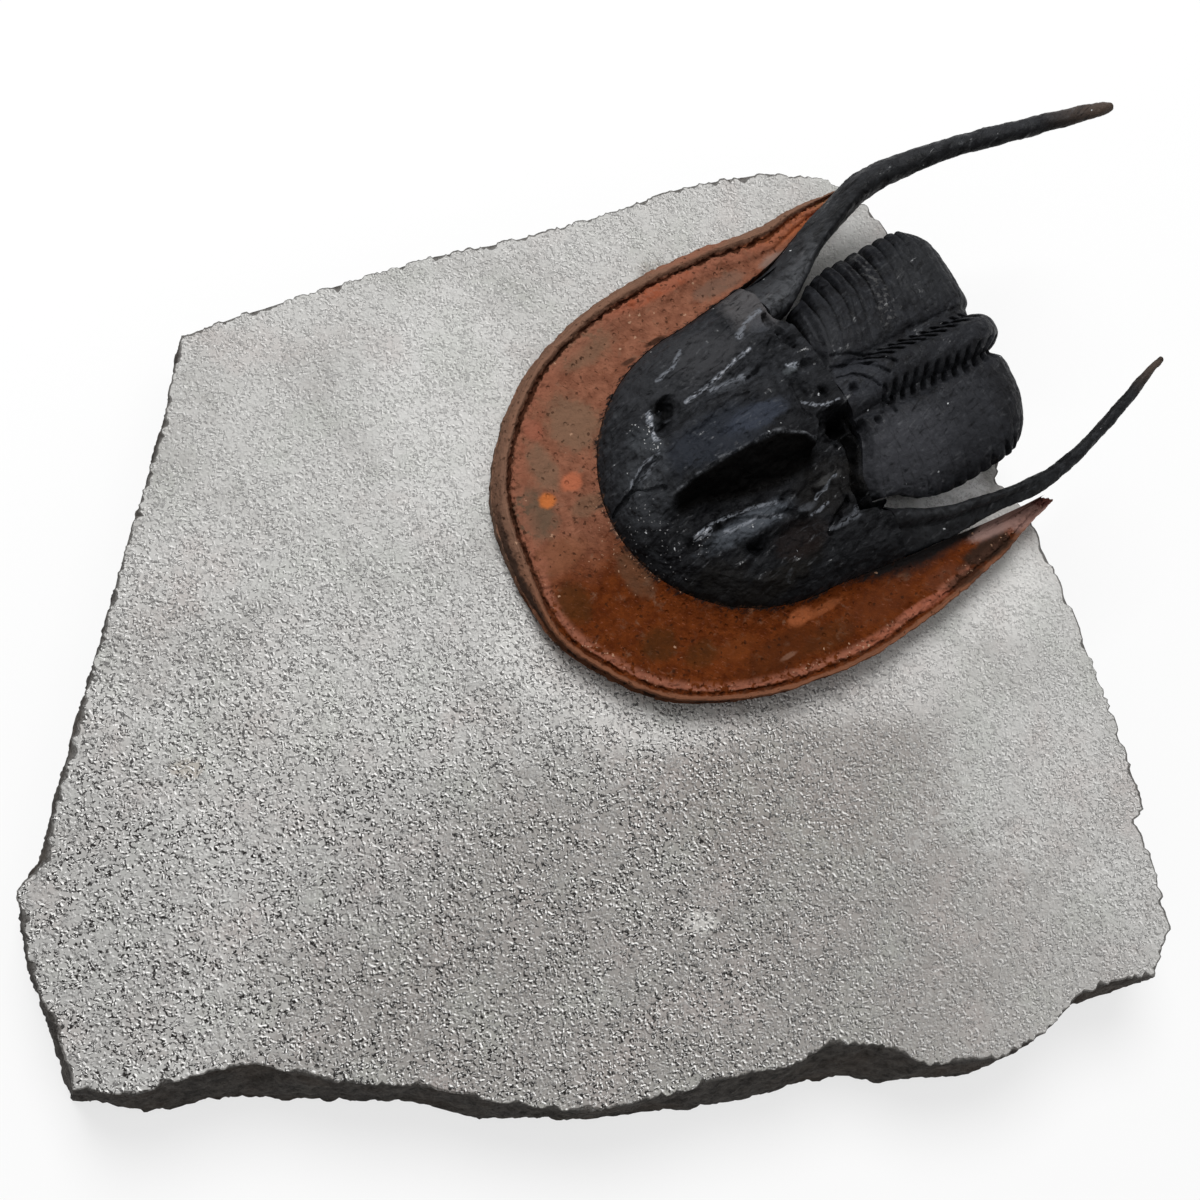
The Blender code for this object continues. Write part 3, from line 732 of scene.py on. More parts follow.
rust = {
    "farDeep": (0.145, 0.055, 0.032),
    "farPale": (0.24, 0.100, 0.060),
    "nearDeep": (0.060, 0.012, 0.002),
    "nearPale": (0.118, 0.028, 0.006),
    "tan": (0.165, 0.10, 0.065),
    "crease": (0.030, 0.010, 0.005),
    "ridge": (0.25, 0.095, 0.058),
    "farRim": (0.175, 0.094, 0.062),
    "nearRim": (0.17, 0.070, 0.038),
    "head": (0.010, 0.009, 0.009),
    # the rear arms and their tips: x, y, reach in x and y, strength, colour
    "tips": [
        (-40.6, 15.8, 3.0, 0.9, 0.9, (0.24, 0.155, 0.135)),
        (-43.8, 16.2, 2.9, 1.4, 0.9, (0.27, 0.16, 0.135)),
        (-38.6, 17.3, 3.4, 1.0, 0.9, (0.022, 0.014, 0.010)),
        (-35.2, 18.4, 2.4, 0.6, 0.7, (0.022, 0.014, 0.010)),
        (-35.8, -14.9, 1.6, 1.0, 0.8, (0.20, 0.14, 0.115)),
        (-46.0, 15.9, 1.0, 0.8, 0.8, (0.10, 0.03, 0.025)),
        (-30.0, -19.4, 5.0, 1.0, 0.5, (0.26, 0.10, 0.06)), (-30.5, 18.6, 3.2, 0.5, 0.7, (0.30, 0.10, 0.06)),
        (-25.0, 19.0, 3.0, 0.45, 0.5, (0.28, 0.09, 0.05)),
    ],
    # the rest of the brim
    "patches": [
        (-15.4, -16.0, 3.6, 1.8, 0.7, (0.165, 0.098, 0.062)),
        (-11.3, -10.4, 2.4, 3.0, 0.8, (0.16, 0.095, 0.06)),
        (-7.0, -8.3, 1.3, 2.6, 0.6, (0.15, 0.10, 0.065)),
        (-4.2, -5.0, 2.0, 2.6, 0.8, (0.095, 0.068, 0.045)), (-8.6, -3.4, 1.7, 1.0, 0.5, (0.12, 0.08, 0.05)),
        (-5.8, -5.5, 0.85, 0.75, 1.0, (0.42, 0.125, 0.035)),
        (-8.5, -5.9, 1.1, 0.9, 0.9, (0.36, 0.11, 0.055)), (-7.9, -11.5, 0.9, 1.1, 0.7, (0.27, 0.09, 0.055)),
        (-4.0, -0.8, 3.0, 1.6, 0.5, (0.17, 0.066, 0.032)),
        (-3.2, 3.4, 1.6, 2.0, 0.55, (0.045, 0.020, 0.006)),
        (-7.8, 10.0, 1.9, 1.5, 0.5, (0.032, 0.017, 0.005)),
        (-10.6, 12.5, 1.8, 1.2, 0.45, (0.036, 0.018, 0.005)),
        (-20.0, 14.0, 1.4, 0.75, 0.7, (0.31, 0.092, 0.034)),
        (-22.3, 14.4, 2.0, 0.45, 0.55, (0.26, 0.080, 0.030)),
        (-17.2, 16.4, 0.9, 0.25, 0.9, (0.28, 0.15, 0.10)),
        (-13.5, 13.6, 2.2, 1.0, 0.5, (0.12, 0.032, 0.008)),
        (-21.5, 16.8, 3.0, 1.2, 0.35, (0.04, 0.018, 0.006)),
        (-33.5, 17.3, 2.4, 1.0, 0.5, (0.10, 0.032, 0.016)),
        (-17.0, 15.8, 4.5, 1.6, 0.6, (0.050, 0.014, 0.004)),
        (-27.0, 16.4, 4.0, 1.6, 0.4, (0.075, 0.022, 0.009)),
        (-24.0, -17.6, 5.0, 0.8, 0.7, (0.30, 0.080, 0.038)),
        (-38.5, -17.8, 5.2, 1.6, 0.8, (0.30, 0.090, 0.034)),
        (-44.0, -18.4, 2.6, 1.0, 0.8, (0.27, 0.13, 0.06)),
        (-30.0, -15.4, 3.0, 0.9, 0.6, (0.12, 0.08, 0.06)),
        (-21.8, -13.4, 1.2, 0.35, 0.9, (0.022, 0.011, 0.007)),
        (-18.6, -12.9, 0.7, 0.3, 0.8, (0.03, 0.015, 0.010)),
        (-9.2, 3.6, 1.4, 2.6, 0.55, (0.10, 0.055, 0.032)), (-9.9, -0.2, 0.7, 1.4, 0.6, (0.22, 0.14, 0.10)),
    ],
}


def brimMaterial():
    material, nodes, shader, place, flat, x, y = shellMaterial("rustyShell", 0.72, 0.025)
    inward, along = nodes.mask("inward"), nodes.mask("along")
    broad = nodes.noise(flat, 0.22, 4.0, 0.6)
    fine = nodes.noise(place, 900.0, 5.0, 0.65)
    # the near side is painted a darker, deeper rust: partly its own colour and partly painted shade, as the
    # light falls from the far side
    near = nodes.span(nodes.plus(y, nodes.times(broad, 8.0)), 0.5, 8.5)
    far = nodes.mix(nodes.span(fine, 0.3, 0.7), rust["farDeep"], rust["farPale"])
    deep = nodes.mix(nodes.span(fine, 0.3, 0.7), rust["nearDeep"], rust["nearPale"])
    colour = nodes.mix(near, far, deep)
    blotch = nodes.noise(flat, 0.9, 5.0, 0.65, 0.5)
    colour = nodes.tint(colour, rust["nearDeep"], blotch, 0.45, 0.25, 0.6)
    dashes = nodes.noise(nodes.stretch(flat, (1.5, 0.5, 1.0), -0.9), 3.0, 4.0, 0.7, 0.6)
    colour = nodes.tint(colour, (0.035, 0.011, 0.004), dashes, 0.44, 0.32, 0.75)
    colour = nodes.tint(colour, rust["ridge"], dashes, 0.58, 0.7, 0.5)
    colour = nodes.tint(colour, rust["tan"], blotch, 0.55, 0.75, 0.5)
    tears = tornEdge(nodes, flat)
    colour = paintPatches(nodes, flat, tears, colour, rust["patches"])

    # where the black of the head and the horns runs down onto the brim
    torn = nodes.noise(nodes.stretch(flat, (1.4, 0.7, 1.0)), 1.6, 5.0, 0.75, 0.5)
    ragged = nodes.plus(inward, nodes.times(nodes.minus(torn, 0.5), 0.7))
    leftRear = nodes.times(nodes.span(x, -24.0, -34.0), nodes.span(y, 2.0, 6.0))
    start = nodes.minus(3.56, leftRear)
    dark = nodes.span(ragged, start, nodes.plus(start, nodes.plus(nodes.times(leftRear, 0.8), 0.07)))
    colour = nodes.cover(colour, rust["head"], dark, nodes.span(x, -5.0, -12.0, 0.4, 1.0))

    beads = nodes.noise(place, 1500.0, 2.0)
    fall, end = nodes.span(near, 0.0, 1.0, 2.45, 2.1), nodes.span(near, 0.0, 1.0, 2.9, 2.35)
    ridge = nodes.times(nodes.band(inward, 1.85, 1.95, fall, end), nodes.span(beads, 0.36, 0.5))
    colour = nodes.cover(colour, rust["ridge"], ridge, nodes.span(near, 0.0, 1.0, 0.6, 0.9))
    rim = nodes.mix(near, rust["farRim"], rust["nearRim"])
    lines = nodes.add("ShaderNodeCombineXYZ")
    nodes.feed(lines.inputs[0], nodes.times(inward, 7.0))
    nodes.feed(lines.inputs[1], nodes.times(along, 0.9))
    streak = nodes.noise(lines.outputs[0], 1.0, 4.0, 0.7)
    rim = nodes.tint(rim, (0.060, 0.034, 0.024), streak, 0.5, 0.36, 0.5)
    rim = nodes.tint(rim, rust["ridge"], streak, 0.58, 0.7, 0.4)
    under = nodes.times(nodes.span(x, -22.0, -8.0, 0.5, 0.9), nodes.span(y, -10.5, -3.0))
    under = nodes.times(nodes.span(nodes.plus(inward, beads), 1.15, 0.75), under)
    rim = nodes.mix(under, rim, (0.040, 0.024, 0.018))
    colour = nodes.tint(colour, rim, inward, 1.6, 1.4)
    width = nodes.minus(nodes.noise(place, 800.0, 4.0, 0.7), 0.5)
    crease = nodes.band(nodes.plus(inward, width), 1.45, 1.58, 1.84, 2.0)
    faint = nodes.times(near, nodes.span(beads, 0.62, 0.42, 0.3, 0.8))
    slantX = nodes.minus(x, nodes.times(y, 0.25))
    crease = nodes.times(crease, nodes.span(slantX, -36.0, -30.0, 0.3, 1.0))
    colour = nodes.cover(colour, rust["crease"], crease, nodes.minus(0.88, faint))

    colour = paintPatches(nodes, flat, tears, colour, rust["tips"])
    bright = scatter(nodes, place, 4200.0, 0.12, 0.3)
    crumbs = oval(nodes, flat, tears, -9.4, 1.6, 2.2, 4.6)
    alongRidge = nodes.times(nodes.band(inward, 1.75, 1.9, 2.15, 2.4), nodes.span(near, 0.2, 0.9, 0.25, 1.0))
    bright = nodes.times(bright, nodes.greater(crumbs, alongRidge))
    sparse = scatter(nodes, place, 2200.0, 0.012, 0.25)
    pitted = scatter(nodes, place, 2300.0, 0.14, 0.3)
    colour = nodes.cover(colour, (0.02, 0.008, 0.004), pitted, 0.65)
    bright = nodes.greater(bright, sparse)
    colour = nodes.cover(colour, (0.38, 0.23, 0.15), bright, 0.75)
    nodes.join(colour, shader.inputs["Base Color"])
    nodes.join(nodes.span(fine, 0.3, 0.7, 0.62, 0.85), shader.inputs["Roughness"])
    grainSurface(nodes, shader, place, 1300.0, 0.6, 0.0, 0.00032, 0.9)
    return material


def brimEdgeMaterial():
    material, nodes, shader = newMaterial("brownShellEdge", 0.8, 0.1)
    place = nodes.objectPlace()
    y = nodes.parts(nodes.animalPlace(place))[1]
    tone = nodes.noise(place, 700.0, 5.0, 0.65)
    colour = nodes.mix(nodes.span(tone, 0.3, 0.7), (0.06, 0.032, 0.020), (0.15, 0.090, 0.062))
    nearTone = nodes.mix(nodes.span(tone, 0.3, 0.7), (0.10, 0.034, 0.014), (0.30, 0.12, 0.06))
    nodes.join(nodes.tint(colour, nearTone, y, -4.0, 6.0), shader.inputs["Base Color"])
    grainSurface(nodes, shader, place, 1200.0, 0.5, 0.0, 0.0002, 0.8)
    return material


head = {
    "middle": -24.0,      # x of the widest part, where the front ellipse ends
    "length": 14.5,
    "halfWidth": 13.2,
    "rear": -31.0,
    "rearReach": 0.42,    # how far the back edge leans over towards the thorax
    "widening": 0.13,
    "notch": 1.6,         # how far the back edge stands forward on the left, inside the horn
    "edge": 3.2,
    "dome": 2.3,
    "wallSteps": (2.6, 1.4, 0.3),  # heights of the rings below the edge
    "spokes": 330,
    "rings": 230,
    # the tall ridge along the middle: x, top, and y of its far edge, crest and foot
    "ridge": [
        (-9.4, 3.2, -2.4, 0.3, 2.6), (-10.4, 4.2, -2.8, 0.3, 2.6), (-11.6, 5.2, -3.2, 0.3, 2.6),
        (-12.9, 6.5, -3.5, 0.2, 2.2), (-14.3, 8.4, -3.7, 0.0, 1.3), (-16.0, 9.5, -3.9, -0.2, 1.2),
        (-18.5, 10.1, -4.1, -0.4, 2.2), (-21.0, 10.3, -4.7, -0.3, 2.9), (-24.0, 10.3, -4.8, -0.1, 3.2),
        (-26.1, 10.0, -4.4, 1.0, 2.9), (-26.9, 9.6, -4.3, 1.9, 3.0), (-27.7, 9.1, -4.3, 1.3, 2.2),
        (-28.6, 8.8, -4.6, -0.1, 0.9), (-29.6, 8.9, -4.8, -0.5, 0.4), (-30.6, 9.1, -5.0, -0.4, 0.6),
        (-31.0, 9.2, -5.1, 0.2, 1.2),
    ],
    "farShare": 0.66,     # height of the ridge's far edge, as a share of its crest
    "farSlope": 1.8,      # how far the ridge takes to come down beyond it
    # hills and hollows: x, y, length, width, turn in degrees, height
    "forms": [
        (-17.9, -7.1, 2.1, 2.1, 0, 0.7), (-18.1, -7.0, 1.35, 1.3, 0, -2.2),
        (-17.2, -5.6, 1.3, 1.0, 30, -1.0), (-15.2, -6.0, 1.3, 1.7, 10, 0.8),
        (-14.3, -4.6, 1.2, 1.1, 0, 0.6), (-12.6, -0.6, 1.6, 2.0, 20, 0.4), (-19.2, 5.8, 4.8, 1.5, -14, 1.0),
        (-15.0, 4.6, 1.6, 1.0, 0, 0.7), (-18.7, 7.1, 1.3, 0.85, -10, -1.6), (-22.0, 8.2, 3.0, 1.9, 0, -0.7),
        (-26.5, 9.0, 3.0, 2.4, 0, 0.5), (-21.0, -9.6, 6.0, 3.2, -15, 0.6), (-27.0, -8.0, 3.6, 2.6, 0, 0.9),
        (-28.5, -4.5, 1.2, 1.2, 20, 0.9), (-30.2, 1.5, 1.15, 1.25, 0, -2.4),
        (-30.2, -4.3, 0.45, 0.6, 0, -1.0), (-30.2, -1.5, 0.5, 0.8, 0, -1.0),
        (-28.8, -7.4, 1.0, 0.6, 40, -0.6), (-11.3, -5.9, 1.0, 1.0, 0, -0.3),
        (-28.2, -1.8, 0.7, 2.2, 0, -0.5), (-29.2, -3.0, 0.5, 1.6, 10, 0.35),
        (-24.5, 5.4, 4.0, 1.6, 0, -0.5), (-17.0, 2.9, 3.0, 1.0, -12, -0.5),
    ],
    # painted highlights: pale streaks where facets and ledges catch the light; reach, strength, then the
    # points of the line
    "streaks": [
        (0.32, 0.9, [(-19.9, -6.7), (-23.1, -7.2), (-27.0, -8.1)]),
        (0.75, 0.6, [(-22.6, -6.6), (-25.0, -6.2)]), (0.55, 1.4, [(-14.3, 3.9), (-15.3, 4.1)]),
        (0.35, 0.6, [(-15.6, 3.6), (-18.8, 3.8), (-22.3, 4.6)]),
        (0.4, 0.7, [(-16.4, 4.8), (-19.5, 5.1), (-21.8, 5.8)]),
        (0.45, 1.1, [(-16.5, -7.4), (-16.0, -6.2), (-15.5, -4.8)]),
        (0.35, 0.7, [(-14.9, -3.7), (-13.2, -3.5), (-11.8, -2.5)]),
        (0.5, 1.0, [(-28.6, -4.9), (-29.3, -4.6)]),
        (0.25, 0.9, [(-28.2, -1.7), (-28.8, -0.8), (-29.8, -0.3), (-30.9, -0.2)]),
        (0.32, 0.8, [(-25.6, 5.9), (-27.0, 5.5), (-28.3, 5.2)]),
        (0.8, 0.45, [(-25.5, 8.9), (-27.9, 9.0), (-29.6, 8.5)]), (0.9, 0.5, [(-13.9, -3.2), (-12.9, -2.7)]),
        (0.5, 0.6, [(-30.4, -10.9), (-28.6, -10.6), (-27.2, -9.6)]),
        (0.4, 0.6, [(-18.6, -9.6), (-20.6, -9.9), (-22.0, -10.9)]),
        (0.3, 0.6, [(-24.4, 7.1), (-26.2, 6.9)]),
    ],
    # narrow ridges and cracks: reach, height, then the points of the line
    "lines": [
        (0.30, -0.8, [(-14.4, -3.3), (-13.0, -3.1), (-11.9, -2.1), (-11.1, -1.9), (-9.9, -1.3)]),
        (0.22, -0.5, [(-12.0, -2.2), (-12.8, -1.2), (-13.6, -0.9)]),
        (0.55, 0.22, [(-19.5, -2.7), (-23.0, -2.4), (-26.0, -2.2)]),
        (0.60, -0.25, [(-18.0, -3.3), (-22.0, -3.6), (-25.5, -3.4)]),
        (0.28, 0.25, [(-14.3, 0.0), (-16.2, -0.2), (-18.5, -0.4), (-20.8, -0.3), (-24.5, -0.1)]),
        (0.28, 0.28, [(-17.6, -3.9), (-19.8, -4.3), (-21.7, -4.9), (-24.1, -4.6)]),
        (0.70, 0.9, [(-22.4, -6.0), (-24.5, -5.9), (-26.6, -6.6)]),
        (0.55, 0.9, [(-13.9, 3.9), (-16.2, 3.8), (-17.9, 4.0), (-20.2, 4.9), (-22.5, 5.4), (-23.6, 6.6)]),
        (0.40, 0.5, [(-26.0, 5.4), (-27.6, 5.2), (-28.4, 4.6)]),
        (0.65, -1.3, [(-30.5, 3.0), (-30.4, 5.0), (-30.3, 7.0), (-30.5, 8.7), (-31.0, 9.6)]),
        (0.40, 0.5, [(-29.4, 2.8), (-28.9, 1.5), (-29.2, 0.2), (-30.4, -0.1)]),
        (0.45, -1.1, [(-30.6, -10.3), (-30.1, -8.7), (-30.1, -7.3), (-30.4, -6.3)]),
        (0.35, -0.8, [(-28.6, 7.5), (-26.9, 7.9), (-25.0, 9.2)]),
        (0.30, -0.35, [(-28.0, -3.4), (-27.7, -1.5), (-27.9, 0.2)]),
    ],
}


def ridgeAt(x):  # top height, far edge, crest and foot of the tall ridge
    places = np.array(head["ridge"])[::-1]
    return [np.interp(x, places[:, 0], places[:, i]) for i in (1, 2, 3, 4)]


def headNotch(y):  # how far the head's back edge, and the thorax, stand forward there
    return head["notch"] * ramp(y, 2.8, 7.6) * ramp(y, 9.25, 8.75)


def headSurface(x, y):  # height, and how far inside the outline each point is
    reach = np.maximum(0.0, x - head["middle"]) / head["length"]
    side = y / (head["halfWidth"] + head["widening"] * np.maximum(0.0, head["middle"] - x))
    inside = np.maximum(0.0, 1.0 - reach ** 2 - side ** 2)
    foot = head["edge"] + head["dome"] * np.minimum(1.0, inside * 4.0) ** 0.62 + 0.9 * inside
    # the rear rises to meet the thorax, most of all on the right
    rise = ramp(x, -25.5, -31.0)
    foot += rise * 2.2 * ramp(y, -10.6, -7.0) * ramp(y, 2.0, -1.0)
    foot += rise * 0.8 * ramp(y, 9.5, 7.0) * ramp(y, 1.5, 4.0)
    top, far, crest, base = ridgeAt(x)
    left = 1.0 - ramp(y, crest, base)
    roof = 1.0 - (1.0 - head["farShare"]) * np.clip((crest - y) / (crest - far), 0.0, 1.0) ** 1.2
    right = roof * (1.0 - ramp(y, far, far - head["farSlope"]))
    across = np.where(y > crest, left, right)
    height = foot + across * np.maximum(0.0, top - foot)
    points = levelPoints(x, y)
    inner = ramp(inside, 0.0, 0.1)
    x, y = x + 0.22 * inner * crumble(points, 1.3, 51), y + 0.22 * inner * crumble(points, 1.3, 52)
    return height + sculpt(x, y, head), inside


def headRelief(points, inside):
    inner = ramp(inside, 0.0, 0.12)
    lift = inner * (0.14 * ripple(points, 1.9, 21) + 0.13 * crumble(points, 1.0, 22))
    long = np.column_stack([0.5 * points[:, 0], points[:, 1], points[:, 2]])
    chipped = 0.24 * (0.3 - np.abs(ripple(long, 1.5, 24))) + 0.13 * (0.3 - np.abs(ripple(long, 0.6, 25)))
    return lift + (chipped + 0.06 * crumble(long, 0.5, 23)) * inner


def buildHead(material):
    mesh, unit = unitGrid(head["spokes"], head["rings"])
    front = head["middle"] + head["length"] - 0.02
    x = front + (head["rear"] - front) * unit[:, 1] ** 1.25
    reach = np.maximum(0.0, x - head["middle"]) / head["length"]
    half = head["halfWidth"] * np.sqrt(np.maximum(0.0, 1.0 - reach ** 2))
    half += head["widening"] * np.maximum(0.0, head["middle"] - x)
    turn = 1.0 - 2.0 * unit[:, 0]
    y = half * (0.55 * turn + 0.45 * np.sin(0.5 * math.pi * turn))
    x = x - head["rearReach"] * ramp(x, -29.5, head["rear"]) * ramp(np.abs(y), 9.8, 9.0)
    height, inside = headSurface(x, y)
    movePoints(mesh, x + headNotch(y) * ramp(x, -26.5, -31.0), y, height)
    mesh.normal_update()
    swell(mesh, headRelief(np.column_stack([x, y, height]), inside))
    keepMask(mesh, "inside", inside)
    top, far, crest, base = ridgeAt(x)
    tall = ramp(top, 7.2, 8.8) * ramp(x, -28.3, -26.8)
    # painted shade: marks the ridge's steep near flank, which lies in shadow, to be painted near black
    keepMask(mesh, "shadedFlank", tall * ramp(y, crest + 0.05, crest + 0.25) * ramp(y, base + 0.9, base))
    # painted highlight: marks a narrow band along the crest, to be painted pale
    keepMask(mesh, "crest", tall * hill((y - crest + 0.05) / 0.28))
    spots = levelPoints(x, y)
    bentX, bentY = x + 0.14 * crumble(spots, 1.0, 53), y + 0.14 * crumble(spots, 1.0, 54)
    # painted highlights: the streak lines, bent a little
    streak = np.zeros(len(x))
    for width, strength, line in head["streaks"]:
        streak = np.maximum(streak, strength * hill(lineReach(bentX, bentY, line) / width))
    keepMask(mesh, "streak", streak)
    edges = openEdges(mesh)
    for height in head["wallSteps"]:
        edges, verts = extrudeEdges(mesh, edges)
        for vert in verts:
            vert.co.z = height
    bmesh.ops.holes_fill(mesh, edges=edges, sides=0)
    finishPiece(mesh, "headShield", material, "head_shield")


shell = {
    "black": (0.0035, 0.0035, 0.004),
    # painted shade colour, for the ridge's near flank in shadow
    "shade": (0.0012, 0.0010, 0.0009),
    "grey": (0.014, 0.0145, 0.016),
    "sheen": (0.034, 0.036, 0.041),
    "rustFoot": (0.085, 0.045, 0.028),
    # where bright specks, partly crystals and partly painted glints, crowd beside the two eyes: x, y, reach
    # in x and y
    "glints": [(-15.0, -5.4, 0.9, 1.9), (-14.6, 4.6, 1.0, 0.9)],
    # painted highlights on lit facets and ledges, painted shade in the eye pit, the rear pit and the crevice
    # behind the head, and darker tone elsewhere, on the head: x, y, reach in x and y, strength, colour
    "headHighlightsShadeAndTone": [
        (-19.5, -2.4, 5.6, 2.2, 0.8, (0.021, 0.024, 0.031)),
        (-23.5, -2.2, 3.4, 1.1, 0.7, (0.034, 0.040, 0.055)),
        (-21.0, -9.8, 7.0, 3.6, 0.7, (0.030, 0.031, 0.034)),
        (-24.3, -6.0, 2.8, 0.7, 0.4, (0.07, 0.075, 0.085)),
        (-30.4, -11.6, 3.0, 2.6, 0.9, (0.075, 0.072, 0.074)),
        (-23.8, -9.6, 3.6, 2.4, 0.5, (0.046, 0.046, 0.049)),
        (-14.6, -5.0, 1.2, 1.8, 0.7, (0.050, 0.054, 0.060)),
        (-12.4, -0.6, 2.2, 2.4, 0.7, (0.034, 0.036, 0.040)),
        (-19.0, 5.2, 4.6, 1.1, 0.9, (0.062, 0.069, 0.080)),
        (-22.1, 9.8, 2.2, 1.2, 0.8, (0.005, 0.0045, 0.004)),
        (-28.6, -4.5, 0.7, 0.4, 0.6, (0.11, 0.12, 0.13)),
        (-29.6, -9.6, 1.2, 1.0, 0.6, (0.045, 0.048, 0.056)),
        (-24.4, 6.3, 1.2, 0.4, 0.8, (0.07, 0.075, 0.085)), (-27.4, 5.1, 1.3, 0.4, 0.8, (0.08, 0.08, 0.08)),
        (-13.4, 8.4, 3.6, 2.2, 0.6, (0.008, 0.007, 0.006)),
        (-18.0, 10.6, 4.0, 1.2, 0.6, (0.008, 0.0065, 0.005)),
        (-30.2, 1.4, 1.4, 1.4, 0.95, (0.003, 0.003, 0.003)),
        (-22.5, 8.4, 2.6, 1.7, 0.6, (0.013, 0.009, 0.008)),
        (-30.6, 3.4, 1.0, 2.2, 0.9, (0.002, 0.002, 0.002)),
        (-29.3, 7.2, 0.7, 2.4, 0.8, (0.002, 0.002, 0.002)),
        (-13.2, -2.9, 2.0, 1.6, 0.6, (0.045, 0.048, 0.053)),
        (-17.7, -7.1, 1.1, 1.1, 0.9, (0.003, 0.003, 0.003)),
        (-27.0, 5.6, 3.4, 2.4, 0.5, (0.010, 0.009, 0.008)),
    ],
    # paler and darker patches on the thorax; the brightest, on the left pleurae behind the head, is a painted
    # sheen: x, y, reach in x and y, strength, colour
    "thoraxSheenAndTone": [
        (-35.0, 6.6, 5.4, 3.8, 0.75, (0.042, 0.043, 0.049)),
        (-41.5, 6.4, 4.2, 3.6, 0.6, (0.026, 0.027, 0.031)),
        (-33.4, -6.4, 1.8, 2.6, 0.7, (0.024, 0.025, 0.028)),
        (-33.6, -1.0, 2.4, 2.2, 0.6, (0.030, 0.032, 0.038)),
        (-46.0, 6.8, 2.4, 3.4, 0.6, (0.008, 0.008, 0.009)),
        (-44.6, -7.0, 3.2, 3.6, 0.6, (0.021, 0.022, 0.024)),
        (-44.0, 0.2, 5.0, 0.7, 0.6, (0.017, 0.018, 0.021)),
    ],
}


def shellGroup():
    # the strokes, gloss and dust that all the black shell has; Shade is painted shade, where the shell is
    # darkest: there it is painted near black and loses its gloss
    tree, nodes, given, made = newGroup("shellFinish", [
        ("Place", "Vector", None), ("Colour", "Color", None), ("Shade", "Float", 0.0),
    ], ("Colour", "Color"), ("Roughness", "Float"), ("Gloss", "Float"))
    place, shade = given["Place"], given["Shade"]
    fine = nodes.noise(place, 1100.0, 4.0, 0.6)
    nodes.join(nodes.span(fine, 0.35, 0.7, 0.34, 0.6), made["Roughness"])
    flat = nodes.animalPlace(place)
    strokes = nodes.noise(nodes.stretch(flat, (1.9, 0.55, 1.0), 0.2), 0.9, 7.0, 0.65, 1.2)
    glossy = nodes.times(nodes.span(strokes, 0.56, 0.66), nodes.span(fine, 0.45, 0.6, 0.0, 0.5))
    nodes.join(nodes.times(glossy, nodes.minus(1.0, shade)), made["Gloss"])
    colour = nodes.tint(given["Colour"], (0.052, 0.056, 0.064), strokes, 0.56, 0.72, 0.35)
    colour = nodes.tint(colour, shell["black"], strokes, 0.46, 0.32, 0.8)
    colour = nodes.mix(shade, colour, shell["shade"])
    dust = scatter(nodes, place, 2600.0, 0.005, 0.2)
    nodes.join(nodes.mix(dust, colour, (0.42, 0.43, 0.44)), made["Colour"])
    return tree


shellFinish = shellGroup()


def shellSurface(nodes, shader, place, colour, bumpDepth, shade=0.0):
    finish = nodes.add("ShaderNodeGroup")
    finish.node_tree = shellFinish
    for name, value in (("Place", place), ("Colour", colour), ("Shade", shade)):
        nodes.feed(finish.inputs[name], value)
    for name, target in (("Colour", "Base Color"), ("Roughness", "Roughness"), ("Gloss", "Coat Weight")):
        nodes.join(finish.outputs[name], shader.inputs[target])
    shader.inputs["Coat Roughness"].default_value = 0.16
    grainSurface(nodes, shader, place, 1000.0, 0.3, 0.5, bumpDepth, 0.8)


def headMaterial():
    material, nodes, shader, place, flat, x, y = shellMaterial("blackShell", 0.45, 0.02)
    inside = nodes.mask("inside")
    tone = nodes.noise(nodes.stretch(flat, (1.6, 0.7, 1.0), 0.15), 1.0, 7.0, 0.7, 0.8)
    colour = nodes.mix(nodes.span(tone, 0.35, 0.65), shell["black"], shell["grey"])
    # painted light: the far side, which faces the lamp, is painted a paler lit grey with sheen
    farSide = nodes.plus(y, nodes.times(tone, 6.0))
    lit = nodes.mix(nodes.span(tone, 0.35, 0.75), shell["grey"], shell["sheen"])
    colour = nodes.tint(colour, lit, farSide, 4.5, -2.0, 0.75)
    tears = tornEdge(nodes, flat)
    # painted highlights and painted shade, with some darker tone, in patches
    colour = paintPatches(nodes, flat, tears, colour, shell["headHighlightsShadeAndTone"])
    # painted highlight: a broken pale line along the ridge's crest
    glow = nodes.times(nodes.mask("crest"), nodes.span(nodes.noise(flat, 1.6, 5.0, 0.7), 0.42, 0.6))
    colour = nodes.cover(colour, (0.11, 0.115, 0.125), glow, 0.8)
    broken = nodes.noise(nodes.stretch(flat, (1.3, 0.5, 1.0), 0.15), 2.4, 3.0, 0.6, 0.6)
    # painted highlights: pale streaks, broken up
    streak = nodes.mask("streak")
    streakHighlight = nodes.times(nodes.span(streak, 0.2, 0.7), nodes.span(broken, 0.42, 0.5))
    colour = nodes.mix(nodes.math("MINIMUM", streakHighlight, 1.0), colour, (0.15, 0.16, 0.18))
    # painted highlight: the brightest core of the strongest streaks
    core = nodes.times(nodes.span(streak, 0.6, 0.9), nodes.span(broken, 0.55, 0.6))
    colour = nodes.cover(colour, (0.42, 0.43, 0.46), core, 0.7)
    torn = nodes.noise(flat, 2.2, 5.0, 0.75, 0.4)
    foot = nodes.span(nodes.minus(inside, nodes.times(torn, 0.14)), -0.064, -0.078)
    colour = nodes.cover(colour, shell["rustFoot"], foot, nodes.span(x, -22.0, -15.0, 0.3, 0.9))
    # bright specks beside the eyes, partly crystals and partly painted glints
    specks = scatter(nodes, place, 4600.0, 0.14, 0.3)
    where = nodes.times(oval(nodes, flat, tears, -11.6, 1.6, 2.0, 4.0), 0.3)
    for glint in shell["glints"]:
        where = nodes.greater(where, oval(nodes, flat, tears, *glint))
    colour = nodes.cover(colour, (0.5, 0.5, 0.5), specks, where)
    # painted shade: the ridge's near flank, in shadow, is painted near black
    shellSurface(nodes, shader, place, colour, 0.0004, nodes.times(nodes.mask("shadedFlank"), 0.97))
    return material


